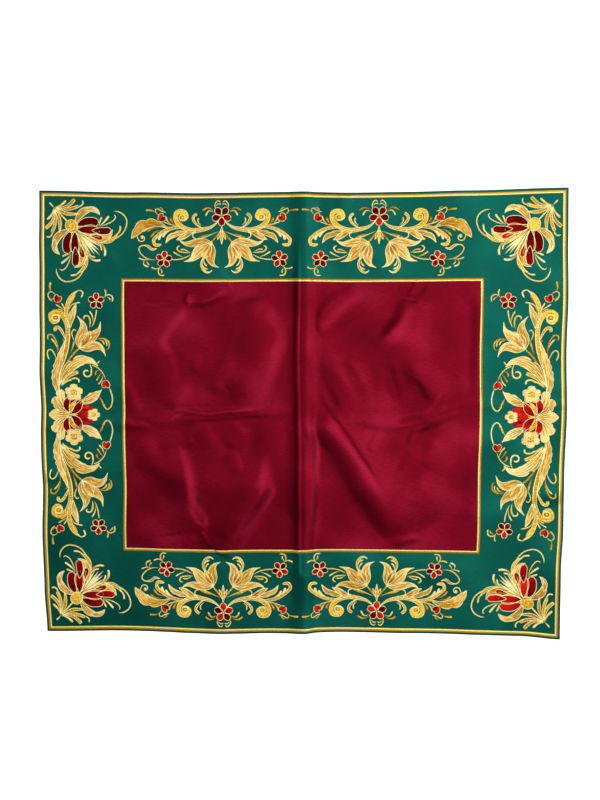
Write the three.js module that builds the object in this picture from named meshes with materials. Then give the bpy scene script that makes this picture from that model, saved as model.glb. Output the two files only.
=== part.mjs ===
// An iliton: the rectangular satin cloth that is unfolded on an altar table. A wine red satin
// panel is laid on a larger green ground cloth, and two lengths of twin-ridged gold braid are
// sewn down, one over the panel's cut edge and one just inside the ground cloth's edge.
// It lies open on a flat surface with the creases of its folding still in it.
//
// Millimetres, +Z up. +Y is the cloth's upper edge. The origin is on the surface, under the
// middle of the cloth. "Flat" places (u, v) are those on the cloth when it is pulled flat and
// square; lay() gives where such a place is while the cloth lies.
import * as THREE from 'three';

// Driving dimensions.
const GROUND = { width: 700, depth: 600, thickness: 1.6 };
const PANEL = { width: 473, depth: 366, thickness: 1, centreU: 1, centreV: -1 };
const BRAID = { width: 4.6, side: 0.9, ridge: 1.5, groove: 1, inset: 3, overlap: 1.2 };
const SEAT_GAP = 0.3;
const LONGEST_STEP = 24;
// A grid line closer than this to a mitre is left out of the braid.
const MITRE_CLEARANCE = 1;

const FINISHES = {
  green: { color: 0x0b5a4e, roughness: 0.45, metalness: 0 },
  wine: { color: 0x7a0520, roughness: 0.4, metalness: 0 },
  gold: { color: 0xd9a834, roughness: 0.35, metalness: 0.8 },
};

// How far each edge lies outside the flat rectangle: along is the place on the edge, out the
// distance. An edge runs evenly from row to row, and the cloth between takes up the difference.
const EDGE_WANDER = {
  left: [
    { along: -300, out: 0.5 },
    { along: -240, out: 3.5 },
    { along: -165, out: 5 },
    { along: -100, out: 3 },
    { along: -30, out: 4.6 },
    { along: 10, out: 3.3 },
    { along: 50, out: 4.2 },
    { along: 130, out: 3.3 },
    { along: 210, out: 2 },
    { along: 300, out: 0.3 },
  ],
  right: [
    { along: -300, out: 0.5 },
    { along: -210, out: 0.2 },
    { along: -150, out: 2.4 },
    { along: -80, out: 2 },
    { along: 0, out: 4 },
    { along: 90, out: 2 },
    { along: 150, out: 3 },
    { along: 230, out: 1.4 },
    { along: 300, out: 0.5 },
  ],
  bottom: [
    { along: -350, out: 1.5 },
    { along: -240, out: -1 },
    { along: -110, out: 1.3 },
    { along: -30, out: -1 },
    { along: 60, out: -4.4 },
    { along: 180, out: -4.4 },
    { along: 300, out: -3 },
    { along: 350, out: 0.8 },
  ],
  top: [
    { along: -350, out: 1.2 },
    { along: -220, out: -2 },
    { along: -130, out: -3.4 },
    { along: -10, out: -2.5 },
    { along: 70, out: -4 },
    { along: 150, out: -3.4 },
    { along: 220, out: -2 },
    { along: 350, out: 0.8 },
  ],
};

// The folds that stand up from the surface. Each runs along its path of flat places, reach is
// how far it spreads to the left and to the right of the path, and height is its crest. Over
// the shares of its path that fade gives, it rises at its start and dies away at its end.
const FOLDS = [
  {
    name: 'lengthwise crease',
    height: 6,
    reach: [29, 20],
    fade: [0, 0],
    path: [[7, -330], [8, -150], [8, 0], [9, 120], [7, 330]],
  },
  {
    name: 'cross crease, left',
    height: 1.8,
    reach: [14, 16],
    fade: [0, 0],
    path: [[4, 8], [-60, 3], [-125, -2], [-200, -11], [-300, -14], [-380, -18]],
  },
  {
    name: 'cross crease, right',
    height: 1.8,
    reach: [16, 14],
    fade: [0, 0],
    path: [[8, 8], [60, -5], [110, -12], [160, -6], [200, 5], [240, 14], [380, 18]],
  },
  {
    name: 'fold down to the right',
    height: 4.8,
    reach: [60, 36],
    fade: [0.12, 0.3],
    path: [[14, 8], [42, -18], [72, -62], [103, -112], [132, -164], [150, -204]],
  },
  {
    name: 'streak, lower left',
    height: 3.2,
    reach: [64, 20],
    fade: [0.3, 0.3],
    path: [[-140, -178], [-137, -154], [-152, -130], [-156, -92], [-166, -44]],
  },
  {
    name: 'streak, lower middle',
    height: 4.8,
    reach: [44, 25],
    fade: [0, 0.3],
    path: [[-106, -188], [-84, -152], [-66, -124], [-56, -94], [-56, -56]],
  },
  {
    name: 'streak, upper left',
    height: 3.2,
    reach: [64, 22],
    fade: [0.4, 0],
    path: [[-188, 26], [-186, 66], [-192, 102], [-172, 132], [-156, 152], [-128, 168], [-96, 184]],
  },
  {
    name: 'streak, upper right',
    height: 2.9,
    reach: [21, 44],
    fade: [0.4, 0.1],
    path: [[96, 94], [122, 116], [138, 142], [143, 160]],
  },
  {
    name: 'arc, upper right',
    height: 2.2,
    reach: [15, 24],
    fade: [0.2, 0.3],
    path: [[16, 104], [32, 140], [60, 163], [94, 178]],
  },
  {
    name: 'streak, right',
    height: 2.6,
    reach: [18, 34],
    fade: [0.3, 0.3],
    path: [[176, 8], [168, 35], [152, 58], [140, 86]],
  },
  {
    name: 'swell beside the crease',
    height: 2.6,
    reach: [54, 40],
    fade: [0.3, 0.1],
    path: [[-66, -20], [-62, 40], [-54, 100], [-62, 168]],
  },
  {
    name: 'ripple, right edge',
    height: 2,
    reach: [30, 30],
    fade: [0.3, 0],
    path: [[240, 52], [300, 46], [380, 40]],
  },
  {
    name: 'ripple, left edge',
    height: 1.8,
    reach: [28, 28],
    fade: [0.3, 0],
    path: [[-238, 66], [-300, 60], [-380, 54]],
  },
  {
    name: 'ripple, top edge',
    height: 1.6,
    reach: [30, 30],
    fade: [0.3, 0],
    path: [[-150, 186], [-160, 250], [-166, 330]],
  },
  {
    name: 'ripple, bottom edge',
    height: 1.8,
    reach: [32, 32],
    fade: [0.3, 0],
    path: [[-96, -186], [-104, -250], [-112, -330]],
  },
];

// Soft swells, where the cloth stands off the surface over a wide oval.
const SWELLS = [
  { name: 'right half, upper', height: 3.6, u: 112, v: 74, reachU: 104, reachV: 92 },
  { name: 'right half, lower', height: 3.2, u: 150, v: -86, reachU: 88, reachV: 80 },
  { name: 'left half, upper', height: 3.2, u: -104, v: 82, reachU: 92, reachV: 88 },
  { name: 'left half, lower', height: 3.2, u: -110, v: -84, reachU: 88, reachV: 80 },
];

// What is below this height lies flat on the surface, and the bend where a fold leaves the
// surface is this soft.
const SETTLED = 0.5;
const SOFTNESS = 1;

// Where the lengthwise crease bends across it, and the cross crease up and down it.
const CREASE_BENDS = { u: [-21, -11, -2, 8, 18, 28], v: [-22, -10, 2, 14, 26] };

// 1 at the crest, 0 from the end of the reach outwards, level at both.
function crest(share) {
  return share >= 1 ? 0 : (1 + Math.cos(Math.PI * share)) / 2;
}

// The share of a fold's height that is left at a distance along it from one of its ends.
function rise(distance, stretch) {
  return stretch > 0 ? 1 - crest(distance / stretch) : 1;
}

// The height that one fold gives to a flat place.
function foldHeight(fold, u, v) {
  let nearest = Infinity;
  let place = 0;
  let run = 0;
  for (let i = 0; i + 1 < fold.path.length; i += 1) {
    const [fromU, fromV] = fold.path[i];
    const [toU, toV] = fold.path[i + 1];
    const [runU, runV] = [toU - fromU, toV - fromV];
    const length = Math.hypot(runU, runV);
    const along = ((u - fromU) * runU + (v - fromV) * runV) / (length * length);
    const held = Math.min(1, Math.max(0, along));
    const [awayU, awayV] = [u - fromU - held * runU, v - fromV - held * runV];
    const reach = runU * awayV - runV * awayU > 0 ? fold.reach[0] : fold.reach[1];
    const share = Math.hypot(awayU, awayV) / reach;
    if (share < nearest) {
      nearest = share;
      place = run + held * length;
    }
    run += length;
  }
  const [start, end] = fold.fade;
  return fold.height * crest(nearest) * rise(place, start * run) * rise(run - place, end * run);
}

function swellHeight(swell, u, v) {
  return swell.height * crest(Math.hypot((u - swell.u) / swell.reachU, (v - swell.v) / swell.reachV));
}

// A height with what is below zero laid nearly flat, and a soft bend between.
function settle(height) {
  return (height + Math.hypot(height, SOFTNESS)) / 2;
}

// How far the underside stands off the surface at a flat place. Folds that cross run into one
// another: the cube root keeps the crossing little higher than the higher fold.
function relief(u, v) {
  const folds = Math.cbrt(FOLDS.reduce((sum, fold) => sum + foldHeight(fold, u, v) ** 3, 0));
  const swells = SWELLS.reduce((sum, swell) => sum + swellHeight(swell, u, v), 0);
  return settle(folds + swells - SETTLED) - settle(-SETTLED);
}

function wander(rows, along) {
  const next = Math.max(1, rows.findIndex((row) => row.along >= along));
  const [before, after] = [rows[next - 1], rows[next]];
  const share = (along - before.along) / (after.along - before.along);
  return before.out + (after.out - before.out) * THREE.MathUtils.smoothstep(share, 0, 1);
}

// Where a flat place is, seen from above, while the cloth lies.
function lay(u, v) {
  const sideways = wander(u < 0 ? EDGE_WANDER.left : EDGE_WANDER.right, v);
  const upwards = wander(v < 0 ? EDGE_WANDER.bottom : EDGE_WANDER.top, u);
  return [u * (1 + sideways / (GROUND.width / 2)), v * (1 + upwards / (GROUND.depth / 2))];
}

// Grid lines through all of the given places, with more between them where they are far apart.
function gridLines(places) {
  const sorted = [...new Set(places)].sort((a, b) => a - b);
  return sorted.flatMap((place, i) => {
    const gap = (sorted[i + 1] ?? place) - place;
    const steps = Math.max(1, Math.ceil(gap / LONGEST_STEP));
    return Array.from({ length: steps }, (_, k) => place + (gap * k) / steps);
  });
}

// The grid lines that one direction needs: both braids' sides, the panel's edges and the
// places where the crease across that direction bends.
function linesAcross(groundHalf, panelHalf, panelCentre, creaseAt) {
  const rim = [groundHalf, groundHalf - BRAID.inset, groundHalf - BRAID.inset - BRAID.width];
  const seam = [panelHalf + BRAID.width - BRAID.overlap, panelHalf, panelHalf - BRAID.overlap];
  return gridLines([
    ...rim.flatMap((place) => [-place, place]),
    ...seam.flatMap((place) => [panelCentre - place, panelCentre + place]),
    ...creaseAt,
  ]);
}

const LINES_U = linesAcross(GROUND.width / 2, PANEL.width / 2, PANEL.centreU, CREASE_BENDS.u);
const LINES_V = linesAcross(GROUND.depth / 2, PANEL.depth / 2, PANEL.centreV, CREASE_BENDS.v);

// The cell of the grid that a place is in, as the cell's index and the share across it.
function cellOf(lines, place) {
  const index = Math.max(0, Math.min(lines.length - 2, lines.findIndex((line) => line >= place) - 1));
  return [index, (place - lines[index]) / (lines[index + 1] - lines[index])];
}

// The underside's height on the facets between the grid lines.
const GRID_RELIEF = LINES_U.map((u) => LINES_V.map((v) => relief(u, v)));
function facetRelief(u, v) {
  const [i, shareU] = cellOf(LINES_U, u);
  const [j, shareV] = cellOf(LINES_V, v);
  const { lerp } = THREE.MathUtils;
  const near = lerp(GRID_RELIEF[i][j], GRID_RELIEF[i + 1][j], shareU);
  const far = lerp(GRID_RELIEF[i][j + 1], GRID_RELIEF[i + 1][j + 1], shareU);
  return lerp(near, far, shareV);
}

// A point of the laid part, up millimetres above the cloth's underside.
function point(u, v, up) {
  return [...lay(u, v), facetRelief(u, v) + up];
}

function closedGeometry(points, quads) {
  const geometry = new THREE.BufferGeometry();
  geometry.setAttribute('position', new THREE.Float32BufferAttribute(points.flat(), 3));
  geometry.setIndex(quads.flatMap(([a, b, c, d]) => [a, b, c, a, c, d]));
  return geometry.toNonIndexed();
}

// A sheet over the grid lines from low to high, between two heights above the underside.
function sheet(linesU, linesV, bottom, top) {
  const points = [];
  const index = (i, j, layer) => (i * linesV.length + j) * 2 + layer;
  linesU.forEach((u) => linesV.forEach((v) => points.push(point(u, v, bottom), point(u, v, top))));
  const quads = [];
  const [lastI, lastJ] = [linesU.length - 1, linesV.length - 1];
  for (let i = 0; i < lastI; i += 1) {
    for (let j = 0; j < lastJ; j += 1) {
      quads.push([index(i, j, 1), index(i + 1, j, 1), index(i + 1, j + 1, 1), index(i, j + 1, 1)]);
      quads.push([index(i + 1, j + 1, 0), index(i + 1, j, 0), index(i, j, 0), index(i, j + 1, 0)]);
    }
  }
  for (let i = 0; i < lastI; i += 1) {
    quads.push([index(i, 0, 0), index(i + 1, 0, 0), index(i + 1, 0, 1), index(i, 0, 1)]);
    quads.push([index(i + 1, lastJ, 0), index(i, lastJ, 0), index(i, lastJ, 1), index(i + 1, lastJ, 1)]);
  }
  for (let j = 0; j < lastJ; j += 1) {
    quads.push([index(0, j + 1, 0), index(0, j, 0), index(0, j, 1), index(0, j + 1, 1)]);
    quads.push([index(lastI, j, 0), index(lastI, j + 1, 0), index(lastI, j + 1, 1), index(lastI, j, 1)]);
  }
  return closedGeometry(points, quads);
}

// A braid sewn round a rectangle, mitred at its corners. The section is a closed outline of
// [in from the braid's outer side, up from the cloth's underside], clockwise as it is seen
// looking along the braid with the outer side on the left.
function braidRing(section, outerU, outerV, centreU, centreV) {
  const inmost = Math.max(...section.map(([inward]) => inward)) + MITRE_CLEARANCE;
  const inside = (lines, centre, outer) => lines.filter((line) => Math.abs(line - centre) < outer - inmost);
  const [runU, runV] = [inside(LINES_U, centreU, outerU), inside(LINES_V, centreV, outerV)];
  const side = { left: -1, right: 1 };
  // Each stop round the ring is a function of how far in from the outer side its point is.
  const stops = [
    (inward) => [centreU + side.left * (outerU - inward), centreV - (outerV - inward)],
    ...runU.map((u) => (inward) => [u, centreV - (outerV - inward)]),
    (inward) => [centreU + side.right * (outerU - inward), centreV - (outerV - inward)],
    ...runV.map((v) => (inward) => [centreU + side.right * (outerU - inward), v]),
    (inward) => [centreU + side.right * (outerU - inward), centreV + (outerV - inward)],
    ...runU.toReversed().map((u) => (inward) => [u, centreV + (outerV - inward)]),
    (inward) => [centreU + side.left * (outerU - inward), centreV + (outerV - inward)],
    ...runV.toReversed().map((v) => (inward) => [centreU + side.left * (outerU - inward), v]),
  ];
  const points = stops.flatMap((stop) => section.map(([inward, up]) => point(...stop(inward), up)));
  const count = section.length;
  const quads = stops.flatMap((_, i) => {
    const next = (i + 1) % stops.length;
    return section.map((__, k) => {
      const after = (k + 1) % count;
      return [i * count + k, next * count + k, next * count + after, i * count + after];
    });
  });
  return closedGeometry(points, quads);
}

// The twin-ridged braid's outline. It lies on the ground cloth on its outer side, and its
// inner side is lifted where it laps over the panel's edge.
function braidSection(lapped) {
  const { width, side, ridge, groove, overlap } = BRAID;
  const seat = GROUND.thickness + SEAT_GAP;
  const lift = lapped ? PANEL.thickness + SEAT_GAP : 0;
  const over = [
    [0, side],
    [width / 4, ridge + lift / 4],
    [width / 2, groove + lift / 2],
    [(width * 3) / 4, ridge + lift],
    [width, side + lift],
    [width, lift],
  ];
  const rebate = width - overlap - SEAT_GAP;
  const under = lapped ? [[rebate, lift], [rebate, 0], [0, 0]] : [[0, 0]];
  return [...over, ...under].map(([inward, up]) => [inward, seat + up]);
}

function piece(name, geometry, finish) {
  const mesh = new THREE.Mesh(geometry, new THREE.MeshStandardMaterial(finish));
  mesh.name = name;
  return mesh;
}

function groundCloth() {
  return piece('ground_cloth', sheet(LINES_U, LINES_V, 0, GROUND.thickness), FINISHES.green);
}

function centrePanel() {
  const within = (lines, centre, size) =>
    lines.filter((line) => Math.abs(line - centre) <= size / 2 + SEAT_GAP);
  const linesU = within(LINES_U, PANEL.centreU, PANEL.width);
  const linesV = within(LINES_V, PANEL.centreV, PANEL.depth);
  const seat = GROUND.thickness + SEAT_GAP;
  return piece('centre_panel', sheet(linesU, linesV, seat, seat + PANEL.thickness), FINISHES.wine);
}

function outerBraid() {
  const outerU = GROUND.width / 2 - BRAID.inset;
  const outerV = GROUND.depth / 2 - BRAID.inset;
  return piece('outer_braid', braidRing(braidSection(false), outerU, outerV, 0, 0), FINISHES.gold);
}

function innerBraid() {
  const beyond = BRAID.width - BRAID.overlap;
  const outerU = PANEL.width / 2 + beyond;
  const outerV = PANEL.depth / 2 + beyond;
  const ring = braidRing(braidSection(true), outerU, outerV, PANEL.centreU, PANEL.centreV);
  return piece('inner_braid', ring, FINISHES.gold);
}

const iliton = new THREE.Group();
iliton.add(groundCloth(), centrePanel(), outerBraid(), innerBraid());

export default iliton;
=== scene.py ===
"""The look of an iliton: two satin cloths, two lengths of gold braid and the embroidery.

Every piece is laid by the same two functions. lay() says where a flat place of the cloth is
while it lies, and relief() how high its underside stands. Flat places (u, v) are millimetres on
the cloth pulled flat and square, from its middle: u to the right and v towards its upper edge.
"""

import logging
import math
from collections.abc import Iterable, Iterator
from dataclasses import dataclass, field, replace
from enum import Enum
from functools import cache

import bpy
import numpy as np
from mathutils import Matrix, Vector


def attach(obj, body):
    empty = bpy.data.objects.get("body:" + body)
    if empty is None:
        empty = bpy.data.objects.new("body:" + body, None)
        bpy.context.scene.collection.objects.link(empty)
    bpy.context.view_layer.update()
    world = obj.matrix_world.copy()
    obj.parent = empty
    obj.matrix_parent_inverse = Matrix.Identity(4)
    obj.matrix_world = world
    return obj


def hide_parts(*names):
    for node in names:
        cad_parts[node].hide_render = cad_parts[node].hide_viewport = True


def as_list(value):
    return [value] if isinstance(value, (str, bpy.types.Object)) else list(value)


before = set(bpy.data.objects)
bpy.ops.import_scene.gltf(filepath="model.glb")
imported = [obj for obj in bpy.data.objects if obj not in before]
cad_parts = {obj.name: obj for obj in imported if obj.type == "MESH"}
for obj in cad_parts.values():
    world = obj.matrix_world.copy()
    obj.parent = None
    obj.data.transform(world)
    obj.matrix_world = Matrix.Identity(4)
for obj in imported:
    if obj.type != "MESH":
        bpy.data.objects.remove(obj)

MM = 0.001
ROOT = "root"
SEED = 41
log = logging.getLogger("iliton")

Point = tuple[float, float]


# How the cloth lies

@dataclass(frozen=True)
class Fold:
    """A crease that runs along a path of flat places, in millimetres.

    The height is the crest's, and a trough's is below zero. A glint's is a share of the painted lustre.
    The reach is how far it spreads to the left and to the right of its path, and fade is the
    share of the path over which it rises at its start and dies away at its end.
    """

    name: str
    height: float
    reach: Point
    path: tuple[Point, ...]
    fade: Point = (0.3, 0.3)

    def height_at(self, u: np.ndarray, v: np.ndarray) -> np.ndarray:
        """The height that this fold gives to flat places.

        Args:
            u: the places across the cloth.
            v: the places up the cloth.

        Returns:
            The heights in millimetres.
        """
        line = smooth_line(np.array(self.path, float), samples=6 * len(self.path))
        low, high = line.min(axis=0) - max(self.reach), line.max(axis=0) + max(self.reach)
        close = (u > low[0]) & (u < high[0]) & (v > low[1]) & (v < high[1])
        near_u, near_v = u[close], v[close]
        nearest, share_there = np.full(near_u.shape, np.inf), np.zeros(near_u.shape)
        pieces = len(line) - 1
        for number, (start, end) in enumerate(zip(line, line[1:])):
            run = end - start
            along = ((near_u - start[0]) * run[0] + (near_v - start[1]) * run[1]) / (run @ run)
            held = np.clip(along, 0, 1)
            away_u, away_v = near_u - start[0] - held * run[0], near_v - start[1] - held * run[1]
            distance = np.hypot(away_u, away_v) / np.where(run[0] * away_v - run[1] * away_u > 0, *self.reach)
            closer = distance < nearest
            nearest = np.where(closer, distance, nearest)
            share_there = np.where(closer, (number + held) / pieces, share_there)
        rise, fall = (np.clip(part, 0, 1) for part in (
            share_there / max(self.fade[0], 1e-6), (1 - share_there) / max(self.fade[1], 1e-6)
        ))
        taper = (1 - crest(rise)) * (1 - crest(fall))
        total = np.zeros(u.shape)
        total[close] = self.height * crest(nearest) * taper
        return total


@dataclass(frozen=True)
class Swell:
    """A wide oval where the cloth stands off the surface."""

    name: str
    height: float
    centre: Point
    reach: Point


def crest(share: np.ndarray) -> np.ndarray:
    """1 at the crest and 0 from the end of the reach outwards, level at both."""
    return np.where(share >= 1, 0, (1 + np.cos(np.pi * np.minimum(share, 1))) / 2)


# How far each edge lies outside the flat rectangle: (place on the edge, distance out).
EDGE_WANDER = {
    "left": (
        (-300, 0.5), (-240, 3.5), (-165, 5), (-100, 3), (-30, 4.6),
        (10, 3.3), (50, 4.2), (130, 3.3), (210, 2), (300, 0.3),
    ),
    "right": (
        (-300, 0.5), (-210, 0.2), (-150, 2.4), (-80, 2), (0, 4),
        (90, 2), (150, 3), (230, 1.4), (300, 0.5),
    ),
    "bottom": (
        (-350, 1.5), (-240, -1), (-110, 1.3), (-30, -1), (60, -4.4), (180, -4.4), (300, -3), (350, 0.8),
    ),
    "top": (
        (-350, 1.2), (-220, -2), (-130, -3.4), (-10, -2.5), (70, -4), (150, -3.4), (220, -2), (350, 0.8),
    ),
}

# The folds that the frame's solids have too.
FOLDS = (
    Fold("lengthwise crease", 6, (29, 20), ((7, -330), (8, -150), (8, 0), (9, 120), (7, 330)), (0, 0)),
    Fold("cross crease, left", 1.8, (14, 16), (
        (4, 8), (-60, 3), (-125, -2), (-200, -11), (-300, -14), (-380, -18),
    ), (0, 0)),
    Fold("cross crease, right", 1.8, (16, 14), (
        (8, 8), (60, -5), (110, -12), (160, -6), (200, 5), (240, 14), (380, 18),
    ), (0, 0)),
    Fold("fold down to the right", 4.8, (60, 36), (
        (14, 8), (42, -18), (72, -62), (103, -112), (132, -164), (150, -204),
    ), (0.12, 0.3)),
    Fold("streak, lower left", 3.2, (64, 20), (
        (-140, -178), (-137, -154), (-152, -130), (-156, -92), (-166, -44),
    )),
    Fold("streak, lower middle", 4.8, (44, 25), (
        (-106, -188), (-84, -152), (-66, -124), (-56, -94), (-56, -56),
    ), (0, 0.3)),
    Fold("streak, upper left", 3.2, (64, 22), (
        (-188, 26), (-186, 66), (-192, 102), (-172, 132), (-156, 152), (-128, 168), (-96, 184),
    ), (0.4, 0)),
    Fold("streak, upper right", 2.9, (21, 44), ((96, 94), (122, 116), (138, 142), (143, 160)), (0.4, 0.1)),
    Fold("arc, upper right", 2.2, (15, 24), ((16, 104), (32, 140), (60, 163), (94, 178)), (0.2, 0.3)),
    Fold("streak, right", 2.6, (18, 34), ((176, 8), (168, 35), (152, 58), (140, 86))),
    Fold("swell beside the crease", 2.6, (54, 40), (
        (-66, -20), (-62, 40), (-54, 100), (-62, 168),
    ), (0.3, 0.1)),
    Fold("ripple, right edge", 2, (30, 30), ((240, 52), (300, 46), (380, 40)), (0.3, 0)),
    Fold("ripple, left edge", 1.8, (28, 28), ((-238, 66), (-300, 60), (-380, 54)), (0.3, 0)),
    Fold("ripple, top edge", 1.6, (30, 30), ((-150, 186), (-160, 250), (-166, 330)), (0.3, 0)),
    Fold("ripple, bottom edge", 1.8, (32, 32), ((-96, -186), (-104, -250), (-112, -330)), (0.3, 0)),
)

SWELLS = (
    Swell("right half, upper", 3.6, (112, 74), (104, 92)),
    Swell("right half, lower", 3.2, (150, -86), (88, 80)),
    Swell("left half, upper", 3.2, (-104, 82), (92, 88)),
    Swell("left half, lower", 3.2, (-110, -84), (88, 80)),
)

# Finer creases, which only the looks have. They show most in the panel's sheen.
CREASES = (
    Fold("sharp edge of the lengthwise crease", 1.5, (9, 3), (
        (-1, -250), (-1, -150), (-1, -40), (-2, 20), (-3, 70), (-2.8, 110), (-1.5, 170), (-1.5, 250),
    ), (0.14, 0.14)),
    Fold("shoulder right of the crease, upper", 1.9, (9, 40), ((26, 30), (26, 120), (26, 250)), (0.3, 0.2)),
    Fold("roll right of the crease, lower", 1, (9, 9), (
        (8, -4), (18, -40), (19, -84), (17, -182),
    ), (0.1, 0.4)),
    Fold("groove down to the right", -1, (6, 6), (
        (17, 56), (28, 20), (56, -20), (84, -62), (112, -104),
    )),
    Fold("cross line, upper left", 1.4, (5, 6), (
        (-182, -4), (-160, 6), (-125, 3), (-100, 6), (-70, 8), (-36, 14),
    )),
    Fold("cross line, lower left", -1.2, (5, 5), ((-150, -11), (-100, -8), (-60, -4), (-34, -3))),
    Fold("dark line, far left", -1, (7, 7), ((-232, -9), (-206, -10), (-190, -19), (-174, -14)), (0.2, 0.4)),
    Fold("short line, left", 1, (20, 10), ((-178, 6), (-160, 28), (-142, 54))),
    Fold("knot of the lower left streak", 0.7, (8, 8), ((-160, -42), (-150, -37), (-141, -31))),
    Fold("foot of the lower left streak", 0.5, (9, 9), ((-174, -180), (-160, -169), (-140, -164))),
    Fold("second foot", 0.5, (7, 7), ((-158, -182), (-146, -172), (-136, -170))),
    Fold("branch, lower middle", 1.4, (13, 15), ((-92, -160), (-66, -124), (-36, -90)), (0.3, 0.15)),
    Fold("patch below the cross crease", 1.2, (22, 14), ((-96, -46), (-84, -26), (-74, -12))),
    Fold("its foot", 0.9, (10, 22), ((-94, -44), (-86, -60), (-82, -80))),
    Fold("soft line, left", 0.9, (20, 12), ((-112, -42), (-124, -26), (-134, -12))),
    Fold("faint line, far left", 1, (26, 20), ((-190, -88), (-200, -56), (-208, -26))),
    Fold("faint line, left edge", 1, (18, 12), ((-216, -2), (-226, 24), (-238, 52))),
    Fold("left star, up", 1.3, (6, 7), ((-152, 150), (-147, 168))),
    Fold("left star, right", 1.3, (7, 7), ((-148, 150), (-118, 158), (-96, 172))),
    Fold("dark line, upper left", -0.9, (6, 6), ((-214, 154), (-186, 152), (-164, 153))),
    Fold("upper corner by the crease", 1, (24, 26), ((-62, 122), (-62, 150), (-36, 164), (-18, 160))),
    Fold("dimple, upper left", 0.8, (14, 16), ((-108, 24), (-112, 44), (-98, 70), (-90, 84))),
    Fold("dimple, middle left", 0.8, (14, 14), ((-104, 120), (-92, 140), (-76, 132))),
    Fold("dimple, left", 0.6, (14, 12), ((-142, 56), (-138, 72), (-146, 84))),
    Fold("right star, left line", -1.5, (5, 6), ((140, 158), (134, 168), (126, 178)), (0.2, 0.2)),
    Fold("right star, right line", -1.5, (5, 6), ((142, 158), (156, 162), (164, 182)), (0.2, 0.1)),
    Fold("right star, middle", 1.2, (6, 6), ((142, 160), (150, 172), (154, 182)), (0.2, 0.1)),
    Fold("trough, upper right", -1.4, (12, 12), ((98, 104), (118, 124), (132, 150))),
    Fold("trough, right", -1, (9, 9), ((148, 52), (162, 34), (168, 14))),
    Fold("soft trough, middle", -1, (12, 14), ((114, 74), (120, 44), (126, 14))),
    Fold("soft trough, left of it", -1, (12, 14), ((44, 76), (66, 58), (78, 36), (84, 10))),
    Fold("dark spot above the groove", -1, (9, 10), ((28, 46), (42, 22), (50, 2))),
    Fold("cross line, right", -1.2, (6, 6), ((120, -9), (142, -6), (164, -1)), (0.4, 0.2)),
    Fold("cross trough, right", -1.7, (8, 8), ((172, -8), (188, 0), (210, 8), (238, 14)), (0.3, 0.3)),
    Fold("bright line below it", 1, (7, 7), ((140, -20), (160, -16), (178, -10), (192, 8))),
    Fold("crumple, lower right", 0.7, (5, 7), ((142, -36), (149, -26), (150, -14)), (0.2, 0.2)),
    Fold("crumple, lower middle", 0.7, (7, 9), ((90, -48), (99, -32), (108, -14)), (0.2, 0.3)),
    Fold("soft line, lower right", 0.9, (12, 18), ((162, -72), (174, -46), (176, -26))),
    Fold("soft line, lower middle", 0.9, (12, 18), ((126, -96), (144, -62), (158, -38))),
    Fold("low patch, lower right", 0.8, (14, 18), ((148, -124), (160, -102), (170, -90))),
    Fold("rise to the right braid", 1.8, (16, 10), ((235, 12), (236, 90), (235, 172)), (0.2, 0.15)),
    Fold("rise to the right braid, lower", 0.9, (16, 10), ((226, -150), (230, -90), (232, -40))),
    Fold("foot of the panel, right", 1, (9, 9), ((112, -184), (132, -172), (168, -166))),
    Fold("ripple in the corner, upper left", 1, (16, 14), ((-262, 214), (-236, 196))),
    Fold("crumple in the border, bottom", 0.8, (8, 8), ((-8, -208), (2, -218), (14, -228))),
    Fold("ripple in the border, left", 1, (14, 14), ((-250, -70), (-300, -82), (-345, -84)), (0.3, 0)),
    Fold("ripple in the border, right", 1.2, (14, 14), ((252, -96), (300, -104), (345, -104)), (0.3, 0)),
    Fold("ripple in the border, top", 1.2, (14, 14), ((60, 190), (56, 240), (58, 296)), (0.3, 0)),
)
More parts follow.
